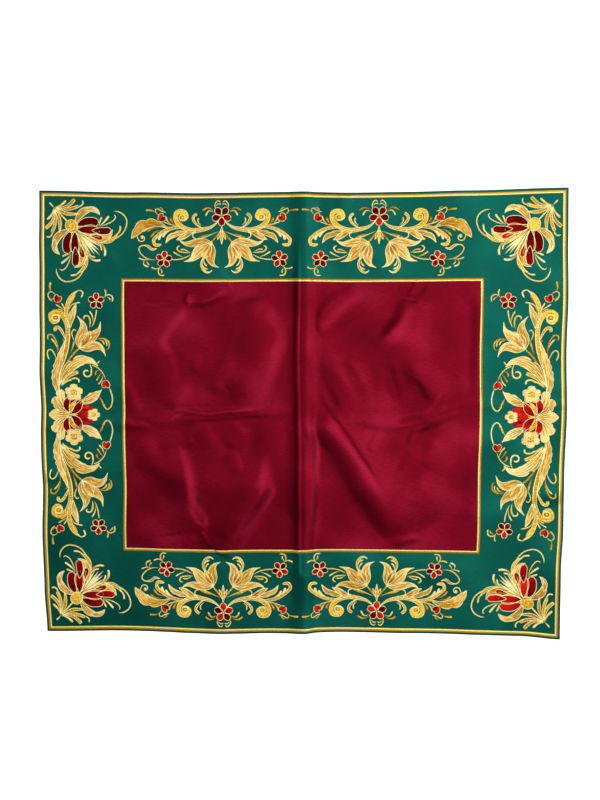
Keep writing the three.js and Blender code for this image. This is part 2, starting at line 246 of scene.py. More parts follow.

# Painted highlights and painted shade: each glint paints the satin's lustre lighter along a crease, and one
# below zero paints it darker.
# Where the satin shines or dulls along its creases. A height here is a share of the lustre, and
# changes no shape.
PAINTED_GLINTS = (
    Fold("band, upper left", 0.6, (9, 9), (
        (-149, 147), (-159, 134), (-173, 116), (-181, 100), (-170, 81), (-165, 60), (-173, 33),
    ), (0.1, 0.4)),
    Fold("left star, left ray", 0.6, (4, 4), ((-150, 166), (-146, 150)), (0.3, 0.1)),
    Fold("left star, middle ray", 0.6, (4, 4), ((-138, 168), (-143, 150)), (0.3, 0.1)),
    Fold("left star, right ray", 0.7, (4, 5), ((-136, 150), (-118, 158), (-100, 171)), (0.1, 0.4)),
    Fold("dark under the right ray", -0.6, (5, 5), ((-140, 148), (-118, 151), (-92, 163)), (0.1, 0.4)),
    Fold("band left of the crease", 0.6, (15, 13), (
        (-34, 158), (-37, 134), (-26, 112), (-29, 88), (-37, 60), (-45, 38), (-58, 16),
    ), (0.15, 0.3)),
    Fold("faint band, upper left", 0.35, (9, 9), ((-90, 134), (-81, 118), (-93, 84), (-82, 65))),
    Fold("faint band, left", 0.35, (9, 9), ((-113, 50), (-102, 36), (-92, 22))),
    Fold("thin line on the cross crease", 0.6, (3.5, 3.5), (
        (-178, -11), (-156, 4), (-133, 1), (-100, 4), (-74, 7), (-48, 8),
    ), (0.1, 0.2)),
    Fold("streak, lower left", 0.7, (9, 8), (
        (-161, -38), (-150, -76), (-144, -116), (-126, -143), (-127, -170),
    ), (0.1, 0.2)),
    Fold("patch left of the crease, lower", 0.5, (15, 14), ((-66, -8), (-72, -40), (-80, -68)), (0.2, 0.3)),
    Fold("streak, lower middle", 0.55, (10, 9), ((-44, -50), (-50, -80), (-58, -112)), (0.3, 0.3)),
    Fold("branch of the lower middle streak", 0.75, (11, 9), (
        (-84, -172), (-56, -132), (-28, -97),
    ), (0.2, 0.1)),
    Fold("dark left of the branch", -0.6, (20, 14), ((-108, -170), (-92, -132), (-66, -92)), (0.1, 0.3)),
    Fold("curve right of the crease, lower", 0.7, (5, 6), (
        (11, -4), (25, -46), (20, -92), (16, -160),
    ), (0.1, 0.3)),
    Fold("dark in the fold down", -0.6, (12, 12), (
        (20, -14), (46, -66), (78, -114), (112, -160),
    ), (0.1, 0.2)),
    Fold("edge of the fold down", 0.6, (9, 8), ((30, -2), (66, -46), (98, -92), (132, -146)), (0.1, 0.4)),
    Fold("arc, upper right", 0.55, (11, 11), ((28, 112), (42, 132), (62, 152), (90, 167)), (0.2, 0.3)),
    Fold("dark over the arc", -0.5, (9, 9), ((22, 130), (34, 155), (52, 171)), (0.2, 0.2)),
    Fold("dark under the arc", -0.45, (12, 10), ((30, 104), (51, 121), (88, 144)), (0.2, 0.3)),
    Fold("right star, left ray", -0.8, (4, 4), ((127, 176), (137, 158)), (0.2, 0.1)),
    Fold("right star, right ray", -0.8, (5, 5), ((166, 176), (149, 155)), (0.2, 0.1)),
    Fold("dark below the right star", -0.75, (9, 9), ((138, 153), (123, 135), (102, 104)), (0.1, 0.4)),
    Fold("band below the right star", 0.5, (15, 14), ((146, 150), (132, 118), (88, 77)), (0.1, 0.4)),
    Fold("dark stroke, right", -0.85, (8, 8), ((141, 78), (154, 49), (167, 18)), (0.3, 0.2)),
    Fold("dark stroke, middle right", -0.45, (8, 8), ((112, 60), (118, 40), (124, 18))),
    Fold("dark stroke, middle", -0.5, (9, 9), ((58, 66), (72, 46), (82, 22))),
    Fold("dark stroke by the crease", -0.5, (8, 8), ((27, 54), (48, 24), (62, -8))),
    Fold("bright crumple, right", 0.55, (6, 6), ((190, 38), (177, 18), (164, 2))),
    Fold("dark crumple, right", -0.8, (6, 5), ((154, -26), (172, -12), (196, -2), (222, 4)), (0.2, 0.4)),
    Fold("dark nick, right", -0.7, (4, 4), ((147, -20), (141, -42)), (0.2, 0.5)),
    Fold("dark line, right", -0.5, (5, 5), ((118, -11), (142, -6), (164, 0)), (0.4, 0.2)),
    Fold("dark by the right braid", -0.5, (9, 6), ((229, 30), (230, 90), (228, 148)), (0.3, 0.2)),
)

# What is below this height lies flat on the surface. The bend where a fold or a fine crease
# leaves the surface is this soft.
SETTLED = 0.5
FOLD_SOFTNESS = 1
CREASE_SOFTNESS = 0.4

# A sheet's columns stand closer together at the lengthwise crease, by this share, which dies
# away over this many millimetres.
CROWDED = 0.55
CROWDED_REACH = 14

# The attribute of painted sheen and shade on the satin: how steeply the cloth falls to the right,
# and with the given weight towards its upper edge. It is 0 where the cloth is level, and levels
# off towards 1 where it falls more steeply than the given slope. The satin is painted lighter
# where it is high and darker where it is below zero. A full painted glint counts as this many
# steep falls.
PAINTED_SHEEN = "fall"
PAINTED_SHEEN_UPWARDS = 0.6
STEEP = 0.14
PAINTED_GLINT_WEIGHT = 4
# Slopes are read from this far to either side, in millimetres.
SLOPE_STEP = 0.5


@dataclass(frozen=True)
class Unevenness:
    """The slight unevenness of cloth that has been folded away: a few long, low waves."""

    height: float = 0.26
    shortest: float = 18
    longest: float = 110
    waves: int = 26

    def height_at(self, u: np.ndarray, v: np.ndarray) -> np.ndarray:
        """The sum of the waves at flat places, in millimetres."""
        draw = np.random.default_rng(SEED)
        total = np.zeros(u.shape)
        for _ in range(self.waves):
            length = draw.uniform(self.shortest, self.longest)
            heading, phase = draw.uniform(0, math.tau, 2)
            along = (u * math.cos(heading) + v * math.sin(heading)) / length
            total += self.height * length / self.longest * np.sin(math.tau * along + phase)
        return total


UNEVENNESS = Unevenness()


def settle(height: np.ndarray, softness: float) -> np.ndarray:
    """Heights with what is below zero laid nearly flat, and a soft bend where they leave the surface."""
    return (height + np.sqrt(height**2 + softness**2)) / 2


def fold_heights(u: np.ndarray, v: np.ndarray) -> np.ndarray:
    """The heights of all folds at flat places, run smoothly into one another."""
    return np.cbrt(sum(fold.height_at(u, v) ** 3 for fold in FOLDS))


def swell_heights(u: np.ndarray, v: np.ndarray) -> np.ndarray:
    """The heights of the wide swells at flat places."""
    return sum(
        swell.height
        * crest(np.hypot((u - swell.centre[0]) / swell.reach[0], (v - swell.centre[1]) / swell.reach[1]))
        for swell in SWELLS
    )


def crease_heights(u: np.ndarray, v: np.ndarray) -> np.ndarray:
    """The heights of the finer creases and the slight unevenness at flat places."""
    return sum(crease.height_at(u, v) for crease in CREASES) + UNEVENNESS.height_at(u, v)


def relief(u: np.ndarray, v: np.ndarray) -> np.ndarray:
    """How far the cloth's underside stands off the surface, in millimetres.

    Args:
        u: the flat places across the cloth.
        v: the flat places up the cloth.

    Returns:
        The heights, none below zero.
    """
    standing = fold_heights(u, v) + swell_heights(u, v) - SETTLED
    lying = settle(standing, FOLD_SOFTNESS) - settle(np.float64(-SETTLED), FOLD_SOFTNESS)
    return settle(lying + crease_heights(u, v), CREASE_SOFTNESS)


def fall(u: np.ndarray, v: np.ndarray) -> np.ndarray:
    """How steeply the creased cloth falls to the right, with the painted glints on its creases:
    the painted sheen and shade of the satin.

    The wide swells count backwards, because the studio's light shows them more than the photo's.

    Args:
        u: the flat places across the cloth.
        v: the flat places up the cloth.

    Returns:
        The falls, 0 where the cloth is level and dull, and 1 where it is steep. The satin is
        painted lighter where they are high and darker where they are below zero.
    """
    left, right, below, above = (
        fold_heights(u + step_u, v + step_v)
        + crease_heights(u + step_u, v + step_v)
        - swell_heights(u + step_u, v + step_v)
        for step_u, step_v in ((-SLOPE_STEP, 0), (SLOPE_STEP, 0), (0, -SLOPE_STEP), (0, SLOPE_STEP))
    )
    painted_glints = sum(glint.height_at(u, v) for glint in PAINTED_GLINTS)
    return np.tanh((left - right + PAINTED_SHEEN_UPWARDS * (below - above)) / STEEP) + PAINTED_GLINT_WEIGHT * painted_glints


def wander(side: str, along: np.ndarray) -> np.ndarray:
    """How far out an edge lies at places along it, run smoothly from row to row."""
    places, outs = np.array(EDGE_WANDER[side], float).T
    after = np.clip(np.searchsorted(places, along), 1, len(places) - 1)
    share = np.clip((along - places[after - 1]) / (places[after] - places[after - 1]), 0, 1)
    return outs[after - 1] + (outs[after] - outs[after - 1]) * share**2 * (3 - 2 * share)


def lay(u: np.ndarray, v: np.ndarray, up: np.ndarray | float) -> np.ndarray:
    """Points of the laid cloth, in metres.

    Args:
        u: the flat places across the cloth.
        v: the flat places up the cloth.
        up: millimetres above the ground cloth's underside.

    Returns:
        One row of x, y and z for each place.
    """
    sideways = np.where(u < 0, wander("left", v), wander("right", v))
    upwards = np.where(v < 0, wander("bottom", u), wander("top", u))
    x = u * (1 + sideways / (GROUND.width / 2))
    y = v * (1 + upwards / (GROUND.depth / 2))
    return np.stack([x, y, relief(u, v) + up], axis=1) * MM


# Small helpers for meshes and nodes

def linear(colour: str) -> tuple[float, float, float, float]:
    """An sRGB hex colour as linear red, green, blue and alpha."""
    parts = [int(colour[i : i + 2], 16) / 255 for i in (1, 3, 5)]
    red, green, blue = [c / 12.92 if c <= 0.04045 else ((c + 0.055) / 1.055) ** 2.4 for c in parts]
    return (red, green, blue, 1.0)


def add_node(
    tree: bpy.types.NodeTree, kind: str, sockets: dict | None = None, **options: object
) -> bpy.types.Node:
    """Adds a shader node with its settings and links.

    Args:
        tree: the material's nodes.
        kind: the node's type, without its ShaderNode prefix.
        sockets: what goes into its inputs, by name or number: a value, or another node's output.
        options: the node's own settings.

    Returns:
        The new node.
    """
    node = tree.nodes.new("ShaderNode" + kind)
    for name, value in options.items():
        setattr(node, name, value)
    for name, value in (sockets or {}).items():
        if isinstance(value, bpy.types.NodeSocket):
            tree.links.new(value, node.inputs[name])
        else:
            node.inputs[name].default_value = value
    return node


def new_material(
    name: str, sockets: dict[str, object]
) -> tuple[bpy.types.Material, bpy.types.NodeTree, bpy.types.Node]:
    """Starts a material.

    Args:
        name: what it is called.
        sockets: what its shader's own sockets are set to, by name.

    Returns:
        The material, its nodes and its shader.
    """
    material = bpy.data.materials.new(name)
    material.use_nodes = True
    shader = material.node_tree.nodes["Principled BSDF"]
    for socket, value in sockets.items():
        shader.inputs[socket].default_value = value
    return material, material.node_tree, shader


def deselect_all() -> None:
    """Leaves nothing selected, so that an operator acts on new pieces alone."""
    bpy.ops.object.select_all(action="DESELECT")


def mesh_points(mesh: bpy.types.Mesh) -> np.ndarray:
    """The places of a mesh's vertices, one row each."""
    points = np.empty(len(mesh.vertices) * 3, np.float32)
    mesh.vertices.foreach_get("co", points)
    return points.reshape(-1, 3).astype(float)


def put_points(mesh: bpy.types.Mesh, points: np.ndarray) -> None:
    """Moves a mesh's vertices to new places."""
    mesh.vertices.foreach_set("co", points.astype(np.float32).ravel())
    mesh.update()


def put_uv(mesh: bpy.types.Mesh, along: np.ndarray, across: np.ndarray) -> None:
    """Gives a mesh a UV map in metres from one value of each for every vertex.

    Args:
        mesh: the mesh.
        along: millimetres along the piece, for each vertex.
        across: millimetres across the piece, for each vertex.
    """
    corners = np.empty(len(mesh.loops), np.int32)
    mesh.loops.foreach_get("vertex_index", corners)
    places = np.stack([along[corners], across[corners]], axis=1) * MM
    layer = mesh.uv_layers.active or mesh.uv_layers.new(name="UVMap")
    layer.data.foreach_set("uv", places.astype(np.float32).ravel())


def finish_piece(piece: bpy.types.Object, name: str, material: bpy.types.Material) -> bpy.types.Object:
    """Names a piece, gives it its material and smooth faces, and lets it ride on the frame."""
    piece.name = name
    piece.data.name = name
    piece.data.materials.clear()
    piece.data.materials.append(material)
    piece.data.shade_smooth()
    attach(piece, ROOT)
    faces = sum(len(face.vertices) - 2 for face in piece.data.polygons)
    log.info("%s: %d triangles", name, faces)
    return piece


# Finishes

# Turns the stretched highlight from along the cloth's width to up and down it.
QUARTER_TURN = 0.25


@dataclass(frozen=True)
class Satin:
    """Polyester satin: long smooth floats on the face, so the sheen is tinted and stretched.

    The threads are 0.15 mm apart, which is too fine to show. They are drawn as streaks of the
    given pitch, and the cloth's uneven sheen as wide cloudy patches. A painted sheen and shade
    from the sheet's own attribute makes the colour lighter where the cloth falls to the right
    and darker where it rises, with painted glints along its creases.
    Lengths are millimetres.
    """

    name: str
    shade: str
    body: str
    # The next colour is the lighter end, both for random tone and for the painted sheen.
    lighter_tone_and_sheen: str
    gleam: str
    roughness: float = 0.4
    metallic: float = 0.35
    anisotropy: float = 0.5
    streak_pitch: float = 1.6
    streak_length: float = 8
    cloud: float = 70
    mottle: float = 9
    painted_sheen_share: float = 0.09
    streak_share: float = 0.36
    pucker_depth: float = 0.6
    pucker_strength: float = 0.5
    streak_depth: float = 0.15
    streak_strength: float = 0.2

    def build(self) -> bpy.types.Material:
        """Makes the satin's material."""
        material, tree, shader = new_material(self.name, {
            "Metallic": self.metallic,
            "Roughness": self.roughness,
            "Anisotropic": self.anisotropy,
            "Anisotropic Rotation": QUARTER_TURN,
            "Specular Tint": linear(self.gleam),
        })
        place = add_node(tree, "UVMap", uv_map="UVMap")
        mottling = add_node(tree, "TexNoise", {
            "Vector": place.outputs["UV"], "Scale": 1 / (self.mottle * MM), "Detail": 4.0, "Roughness": 0.65,
        })
        threads = add_node(tree, "Mapping", {
            "Vector": place.outputs["UV"],
            "Scale": (1 / (self.streak_length * MM), 1 / (self.streak_pitch * MM), 1),
        })
        streaks = add_node(tree, "TexNoise", {"Vector": threads.outputs[0], "Scale": 1.0, "Detail": 2.0})
        clouds = add_node(tree, "TexNoise", {
            "Vector": place.outputs["UV"], "Scale": 1 / (self.cloud * MM), "Detail": 1.5,
        })
        grain = add_node(tree, "Math", {
            0: streaks.outputs["Fac"], 1: self.streak_share, 2: 0.5 * (1 - self.streak_share),
        }, operation="MULTIPLY_ADD")
        both = add_node(tree, "Math", {0: grain.outputs[0], 1: clouds.outputs["Fac"]}, operation="ADD")
        # Painted sheen and shade: the sheet's attribute moves the colour towards the lighter end where the
        # cloth falls to the right and at glints, and towards the shade where it rises.
        painted_sheen_node = add_node(tree, "Attribute", attribute_name=PAINTED_SHEEN)
        total = add_node(tree, "Math", {
            0: painted_sheen_node.outputs["Fac"], 1: self.painted_sheen_share, 2: both.outputs[0],
        }, operation="MULTIPLY_ADD")
        darker = add_node(tree, "MapRange", {"Value": total.outputs[0], "From Min": 0.5, "From Max": 1.0})
        lighter = add_node(tree, "MapRange", {"Value": total.outputs[0], "From Min": 1.0, "From Max": 1.5})
        lower = add_node(tree, "Mix", {
            0: darker.outputs[0], 6: linear(self.shade), 7: linear(self.body),
        }, data_type="RGBA")
        colour = add_node(tree, "Mix", {
            0: lighter.outputs[0], 6: lower.outputs[2], 7: linear(self.lighter_tone_and_sheen),
        }, data_type="RGBA")
        tree.links.new(colour.outputs[2], shader.inputs["Base Color"])
        tangent = add_node(tree, "Tangent", direction_type="UV_MAP", uv_map="UVMap")
        tree.links.new(tangent.outputs[0], shader.inputs["Tangent"])
        pucker = add_node(tree, "Bump", {
            "Height": mottling.outputs["Fac"],
            "Strength": self.pucker_strength,
            "Distance": self.pucker_depth * MM,
        })
        bump = add_node(tree, "Bump", {
            "Height": streaks.outputs["Fac"],
            "Strength": self.streak_strength,
            "Distance": self.streak_depth * MM,
            "Normal": pucker.outputs[0],
        })
        tree.links.new(bump.outputs[0], shader.inputs["Normal"])
        return material


@dataclass(frozen=True)
class Thread:
    """Embroidery thread laid side by side over the stitched shape.

    Stitches are 0.4 mm apart, which is too fine to show, so they are drawn in bundles of the
    given pitch. They cross the shape, at a slant on each side of its spine, or run along it.
    Each shape's own tone, from its attribute, stands for the lie of its stitches: partly a painted
    sheen, lighter where they would catch the light, and partly random. A bundle is stretch times
    as long as it is wide. Lengths are millimetres.
    """

    name: str
    shade: str
    body: str
    gleam: str
    roughness: float = 0.36
    metallic: float = 0.4
    anisotropy: float = 0.4
    specular: float = 0.25
    pitch: float = 1.6
    stretch: float = 7
    slant: float = 0.6
    lengthwise: bool = False
    tone_share: float = 0.45
    contrast: float = 0.2
    crown_reach: float = 1.3
    relief: float = 0.35
    relief_strength: float = 0.6

    def build(self) -> bpy.types.Material:
        """Makes the thread's material."""
        material, tree, shader = new_material(self.name, {
            "Metallic": self.metallic,
            "Roughness": self.roughness,
            "Anisotropic": self.anisotropy,
            "Specular IOR Level": self.specular,
            "Specular Tint": linear(self.gleam),
        })
        place = add_node(tree, "UVMap", uv_map="UVMap")
        parts = add_node(tree, "SeparateXYZ", {0: place.outputs["UV"]})
        width = add_node(tree, "Math", {0: parts.outputs[1]}, operation="ABSOLUTE")
        slanted = add_node(tree, "Math", {
            0: width.outputs[0], 1: self.slant, 2: parts.outputs[0],
        }, operation="MULTIPLY_ADD")
        stitch = add_node(tree, "CombineXYZ", {0: slanted.outputs[0], 1: parts.outputs[1]})
        fine, long = 1 / (self.pitch * MM), 1 / (self.stretch * self.pitch * MM)
        scaled = add_node(tree, "Mapping", {
            "Vector": place.outputs["UV"] if self.lengthwise else stitch.outputs[0],
            "Scale": (long, fine, 1) if self.lengthwise else (fine, long, 1),
        })
        bundles = add_node(tree, "TexNoise", {"Vector": scaled.outputs[0], "Scale": 1.0, "Detail": 1.0})
        # The tone is partly a painted sheen, and mixes the colour from shade through body to gleam.
        tone = add_node(tree, "Attribute", attribute_name="tone")
        mixed = add_node(tree, "Mix", {
            0: self.tone_share, 2: bundles.outputs["Fac"], 3: tone.outputs["Fac"],
        }, data_type="FLOAT")
        lit = add_node(tree, "MapRange", {
            "Value": mixed.outputs[0], "From Min": 0.5 - self.contrast, "From Max": 0.5 + self.contrast / 2,
        })
        lower = add_node(tree, "Mix", {
            0: lit.outputs[0], 6: linear(self.shade), 7: linear(self.body),
        }, data_type="RGBA")
        crown = add_node(tree, "MapRange", {
            "Value": mixed.outputs[0], "From Min": 0.5, "From Max": 0.5 + self.crown_reach * self.contrast,
        })
        colour = add_node(tree, "Mix", {
            0: crown.outputs[0], 6: lower.outputs[2], 7: linear(self.gleam),
        }, data_type="RGBA")
        tree.links.new(colour.outputs[2], shader.inputs["Base Color"])
        tangent = add_node(tree, "Tangent", direction_type="UV_MAP", uv_map="UVMap")
        tree.links.new(tangent.outputs[0], shader.inputs["Tangent"])
        bump = add_node(tree, "Bump", {
            "Height": bundles.outputs["Fac"],
            "Strength": self.relief_strength,
            "Distance": self.relief * MM,
        })
        tree.links.new(bump.outputs[0], shader.inputs["Normal"])
        return material


@dataclass(frozen=True)
class Plait:
    """Plaited metallic yarn: bright crowns and dark gaps, and one ridge brighter than the other.

    The groove is where the outer ridge's colour runs into the inner one's, in millimetres from
    the braid's outer side. The grain is the yarn's own unevenness. The crowns carry a painted
    shade, darker in the plait's gaps, its groove and at its sides. Crowns and grain together
    are the painted dark gap at the first of the shade's two limits, and bright from the second on.
    """

    name: str = "plaited_gold_yarn"
    # The first colour is the painted shade in the plait's gaps.
    gap_shade: str = "#745206"
    outer: str = "#c08e10"
    inner: str = "#ffe878"
    roughness: float = 0.32
    metallic: float = 0.35
    groove: Point = (1.6, 3.0)
    grain_pitch: float = 1.3
    grain_share: float = 0.4
    grain_depth: float = 0.25
    grain_strength: float = 0.4
    shaded_to_lit: Point = (0.2, 0.62)

    def build(self) -> bpy.types.Material:
        """Makes the braid's material."""
        material, tree, shader = new_material(
            self.name, {"Metallic": self.metallic, "Roughness": self.roughness}
        )
        place = add_node(tree, "UVMap", uv_map="UVMap")
        parts = add_node(tree, "SeparateXYZ", {0: place.outputs["UV"]})
        side = add_node(tree, "MapRange", {
            "Value": parts.outputs[1], "From Min": self.groove[0] * MM, "From Max": self.groove[1] * MM,
        })
        yarn = add_node(tree, "Mix", {
            0: side.outputs[0], 6: linear(self.outer), 7: linear(self.inner),
        }, data_type="RGBA")
        grain = add_node(tree, "TexNoise", {
            "Vector": place.outputs["UV"], "Scale": 1 / (self.grain_pitch * MM), "Detail": 2.0,
        })
        # Painted shade: the braid's attribute is darker in the plait's gaps, its groove and at its sides.
        crown = add_node(tree, "Attribute", attribute_name="crown")
        mixed = add_node(tree, "Mix", {
            0: self.grain_share, 2: crown.outputs["Fac"], 3: grain.outputs["Fac"],
        }, data_type="FLOAT")
        share = add_node(tree, "MapRange", {
            "Value": mixed.outputs[0], "From Min": self.shaded_to_lit[0], "From Max": self.shaded_to_lit[1],
        })
        colour = add_node(tree, "Mix", {
            0: share.outputs[0], 6: linear(self.gap_shade), 7: yarn.outputs[2],
        }, data_type="RGBA")
        tree.links.new(colour.outputs[2], shader.inputs["Base Color"])
        bump = add_node(tree, "Bump", {
            "Height": grain.outputs["Fac"],
            "Strength": self.grain_strength,
            "Distance": self.grain_depth * MM,
        })
        tree.links.new(bump.outputs[0], shader.inputs["Normal"])
        return material


GREEN_SATIN = Satin("green_polyester_satin", "#02342b", "#03463c", "#0d5f50", "#60ffe0", metallic=0.55)
WINE_SATIN = Satin("wine_polyester_satin", "#430007", "#650115", "#8b132e", "#ff8098", metallic=0.8)
PLAITED_GOLD = Plait()


class Spool(Enum):
    """The threads that the embroidery is stitched in."""

    CREAM = Thread("cream_gold_thread", "#e0a818", "#ffe878", "#fffcc8", metallic=0.1)
    GOLD = Thread("deep_gold_thread", "#804e02", "#e6a402", "#ffe458", metallic=0.2, contrast=0.17)
    BEIGE = Thread(
        "beige_gold_thread", "#925a06", "#f0c056", "#ffeca6", metallic=0.1, lengthwise=True, contrast=0.16
    )
    RED = Thread("red_rayon_thread", "#500404", "#9c060a", "#d4241a", metallic=0.2, tone_share=0.85)


# Cloths

@dataclass
class Sheet:
    """A rectangular satin sheet that lies on the folds, with sizes in millimetres."""

    name: str
    width: float
    depth: float
    thickness: float
    centre: Point
    seat: float
    pitch: float
    rim: float
    finish: Satin
    slot: str
    rests_on: tuple[str, ...] = ()
    rim_segments: int = 2
    rim_angle: float = 60

    def build(self) -> bpy.types.Object:
        """Lays a fine grid on the folds and gives it its thickness and rounded rim.

        Returns:
            The sheet's object, at the origin, with its place in its mesh.
        """
        deselect_all()
        bpy.ops.mesh.primitive_grid_add(
            x_subdivisions=round(self.width / self.pitch),
            y_subdivisions=round(self.depth / self.pitch),
            size=1,
        )
        piece = bpy.context.object
        bpy.ops.object.mode_set(mode="EDIT")
        bpy.ops.mesh.select_all(action="SELECT")
        bpy.ops.transform.resize(value=(self.width, self.depth, 1))
        bpy.ops.object.mode_set(mode="OBJECT")
        u, v, _ = mesh_points(piece.data).T
        u = u * (1 - CROWDED * np.exp(-((u / CROWDED_REACH) ** 2)))
        put_uv(piece.data, u, v)
        u, v = u + self.centre[0], v + self.centre[1]
        put_points(piece.data, lay(u, v, self.seat + self.thickness))
        # Painted sheen and shade: how steeply the cloth falls, from which the satin paints itself lighter and
        # darker.
        painted_sheen_layer = piece.data.attributes.new(PAINTED_SHEEN, "FLOAT", "POINT")
        painted_sheen_layer.data.foreach_set("value", fall(u, v).astype(np.float32))
        solid = piece.modifiers.new("thickness", "SOLIDIFY")
        solid.thickness = self.thickness * MM
        solid.offset = -1
        bpy.ops.object.modifier_apply(modifier=solid.name)
        rounded = piece.modifiers.new("rim", "BEVEL")
        rounded.width = self.rim * MM
        rounded.segments = self.rim_segments
        rounded.limit_method = "ANGLE"
        rounded.angle_limit = math.radians(self.rim_angle)
        bpy.ops.object.modifier_apply(modifier=rounded.name)
        return piece

    def dress(self, piece: bpy.types.Object) -> None:
        finish_piece(piece, self.name + "_satin", self.finish.build())
        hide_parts(self.name)
        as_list(self.rests_on)


GROUND = Sheet("ground_cloth", 700, 600, 1.6, (0, 0), 0, 3.4, 0.5, GREEN_SATIN, "green_satin")
SEAT_GAP = 0.3
ON_GROUND = GROUND.thickness + SEAT_GAP
PANEL = Sheet(
    "centre_panel", 473, 366, 1, (1, -1), ON_GROUND, 2.2, 0.3, WINE_SATIN, "wine_satin",
    ("ground_cloth_satin",),
)


# Braids

@dataclass
class Braid:
    """Twin-ridged plaited braid, sewn down round a rectangle and mitred at its corners.

    Lengths are millimetres. The plait's relief rises and falls about its mean, and its crowns
    are flatter the lower their power is. The shoulder is how high the section stands right at
    its sides, and in the painted shade the dimmest gap has that share of a crown's brightness.
    """

    name: str
    outer: Point
    centre: Point
    lift: float
    width: float = 4.6
    side: float = 0.9
    ridge: float = 1.5
    groove: float = 1.0
    overlap: float = 1.2
    plait: float = 3.2
    relief: float = 0.24
    pitch: float = 0.7
    sides: int = 12
    seam: float = 0.005
    mean: float = 0.6
    power: float = 0.7
    shoulder: float = 0.65
    dimmest: float = 0.35

    def rectangle(self, inward: np.ndarray, along: np.ndarray) -> tuple[np.ndarray, np.ndarray]:
        """Flat places round the rectangle, anticlockwise from its lower left corner.

        Args:
            inward: millimetres in from the braid's outer side.
            along: millimetres round the outer side.

        Returns:
            The places across and up the cloth.
        """
        half_u, half_v = self.outer
        ends = np.cumsum([0, 2 * half_u, 2 * half_v, 2 * half_u, 2 * half_v])
        corner_u, corner_v = (np.array([-1, 1, 1, -1, -1.0]), np.array([-1, -1, 1, 1, -1.0]))
        round_u = np.interp(along, ends, corner_u)
        round_v = np.interp(along, ends, corner_v)
        return self.centre[0] + round_u * (half_u - inward), self.centre[1] + round_v * (half_v - inward)

    def build(self) -> bpy.types.Object:
        """Rolls a long grid into a ring round the rectangle and shapes its section and plait.

        Returns:
            The braid's object.
        """
        lap = 4 * sum(self.outer)
        deselect_all()
        bpy.ops.mesh.primitive_grid_add(
            x_subdivisions=round(lap / self.pitch), y_subdivisions=self.sides, size=1
        )
        piece = bpy.context.object
        shares = mesh_points(piece.data) + 0.5
        along, turn = shares[:, 0] * lap, shares[:, 1] * math.tau
        # The section runs from the braid's outer side over its crowns, and back under it.
        across = (1 - np.cos(turn)) / 2
        top = np.sin(turn) > -1e-6
        heights = (self.side, self.ridge, self.groove, self.ridge, self.side)
        outline = np.interp(across, (0, 0.25, 0.5, 0.75, 1), heights)
        rounded = np.sqrt(np.clip(np.sin(turn), 0, 1)) * (1 - self.shoulder) + self.shoulder
        crossing = np.where(across < 0.5, along + across * 2 * self.plait, along - across * 2 * self.plait)
        crown = np.abs(np.sin(math.pi * crossing / self.plait)) ** self.power
        ridge_share = np.sin(math.tau * across) ** 2
        up = np.where(top, outline * rounded + self.relief * (crown - self.mean) * ridge_share, 0)
        lapped = self.lift * np.where(top, across, across > 1 - self.overlap / self.width)
        u, v = self.rectangle(across * self.width, along)
        put_points(piece.data, lay(u, v, ON_GROUND + up + lapped))
        put_uv(piece.data, along, across * self.width)
        # Painted shade on the plait: the attribute is darker in its gaps, its groove and at its sides than on
        # its crowns.
        lit = piece.data.attributes.new("crown", "FLOAT", "POINT")
        crown_light, ridge_light = (
            self.dimmest + (1 - self.dimmest) * share for share in (crown, ridge_share)
        )
        shade = crown_light * ridge_light
        lit.data.foreach_set("value", shade.astype(np.float32))
        bpy.ops.object.mode_set(mode="EDIT")
        bpy.ops.mesh.select_all(action="SELECT")
        bpy.ops.mesh.remove_doubles(threshold=self.seam * MM)
        bpy.ops.object.mode_set(mode="OBJECT")
        return piece

    def dress(self, piece: bpy.types.Object) -> None:
        """Gives the braid its plaited yarn in place of its solid."""
        finish_piece(piece, self.name + "_plait", plaited_gold())
        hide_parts(self.name)


@cache
def plaited_gold() -> bpy.types.Material:
    """The one material that both braids share."""
    return PLAITED_GOLD.build()


BRAID_INSET = 3
OUTER_BRAID = Braid(
    "outer_braid", (GROUND.width / 2 - BRAID_INSET, GROUND.depth / 2 - BRAID_INSET), (0, 0), 0
)
INNER_BRAID = Braid(
    "inner_braid",
    (PANEL.width / 2 + Braid.width - Braid.overlap, PANEL.depth / 2 + Braid.width - Braid.overlap),
    PANEL.centre,
    PANEL.thickness + SEAT_GAP,
)


# Embroidery

class Form(Enum):
    """How a stitched shape swells from its root and fades to its tip, as shares of its length.

    A share of zero is a round end. The last number is how hollow the sides of the tip are.
    """

    COMMA = (0.8, 0.0, 1.0)
    LEAF = (0.5, 0.5, 1.1)
    BLADE = (0.65, 0.35, 1.0)
    STEM = (0.35, 0.1, 1.0)
    CORD = (0.0, 0.0, 1.0)
    DROP = (0.55, 0.0, 1.0)
    CLAW = (0.4, 0.6, 1.9)


@dataclass(frozen=True)
class Stitching:
    """One stitched shape: a spine in millimetres with a width, a form and a thread.

    tone is from 0, dull, to 1, bright, and lobes is how many scallops its left edge has. A wide
    shape has a cream cord down its edges unless edged is False, and veins is how many gold lines
    run down it. It stands over millimetres higher than its width alone makes it.
    """

    spool: Spool
    form: Form
    width: float
    spine: tuple[Point, ...]
    tone: float = 0.5
    lobes: int = 0
    edged: bool = True
    veins: int = 0
    over: float = 0.0


@dataclass(frozen=True)
class Placing:
    """Where a motif goes on the cloth: its origin, the heading of its x axis, and its mirror."""

    origin: Point
    heading: Point = (1, 0)
    mirror: int = 1

    def flat(self, points: np.ndarray) -> np.ndarray:
        """Motif places as flat places of the cloth."""
        ahead = np.array(self.heading) / math.hypot(*self.heading)
        aside = np.array([-ahead[1], ahead[0]]) * self.mirror
        return np.array(self.origin) + points[:, :1] * ahead + points[:, 1:] * aside


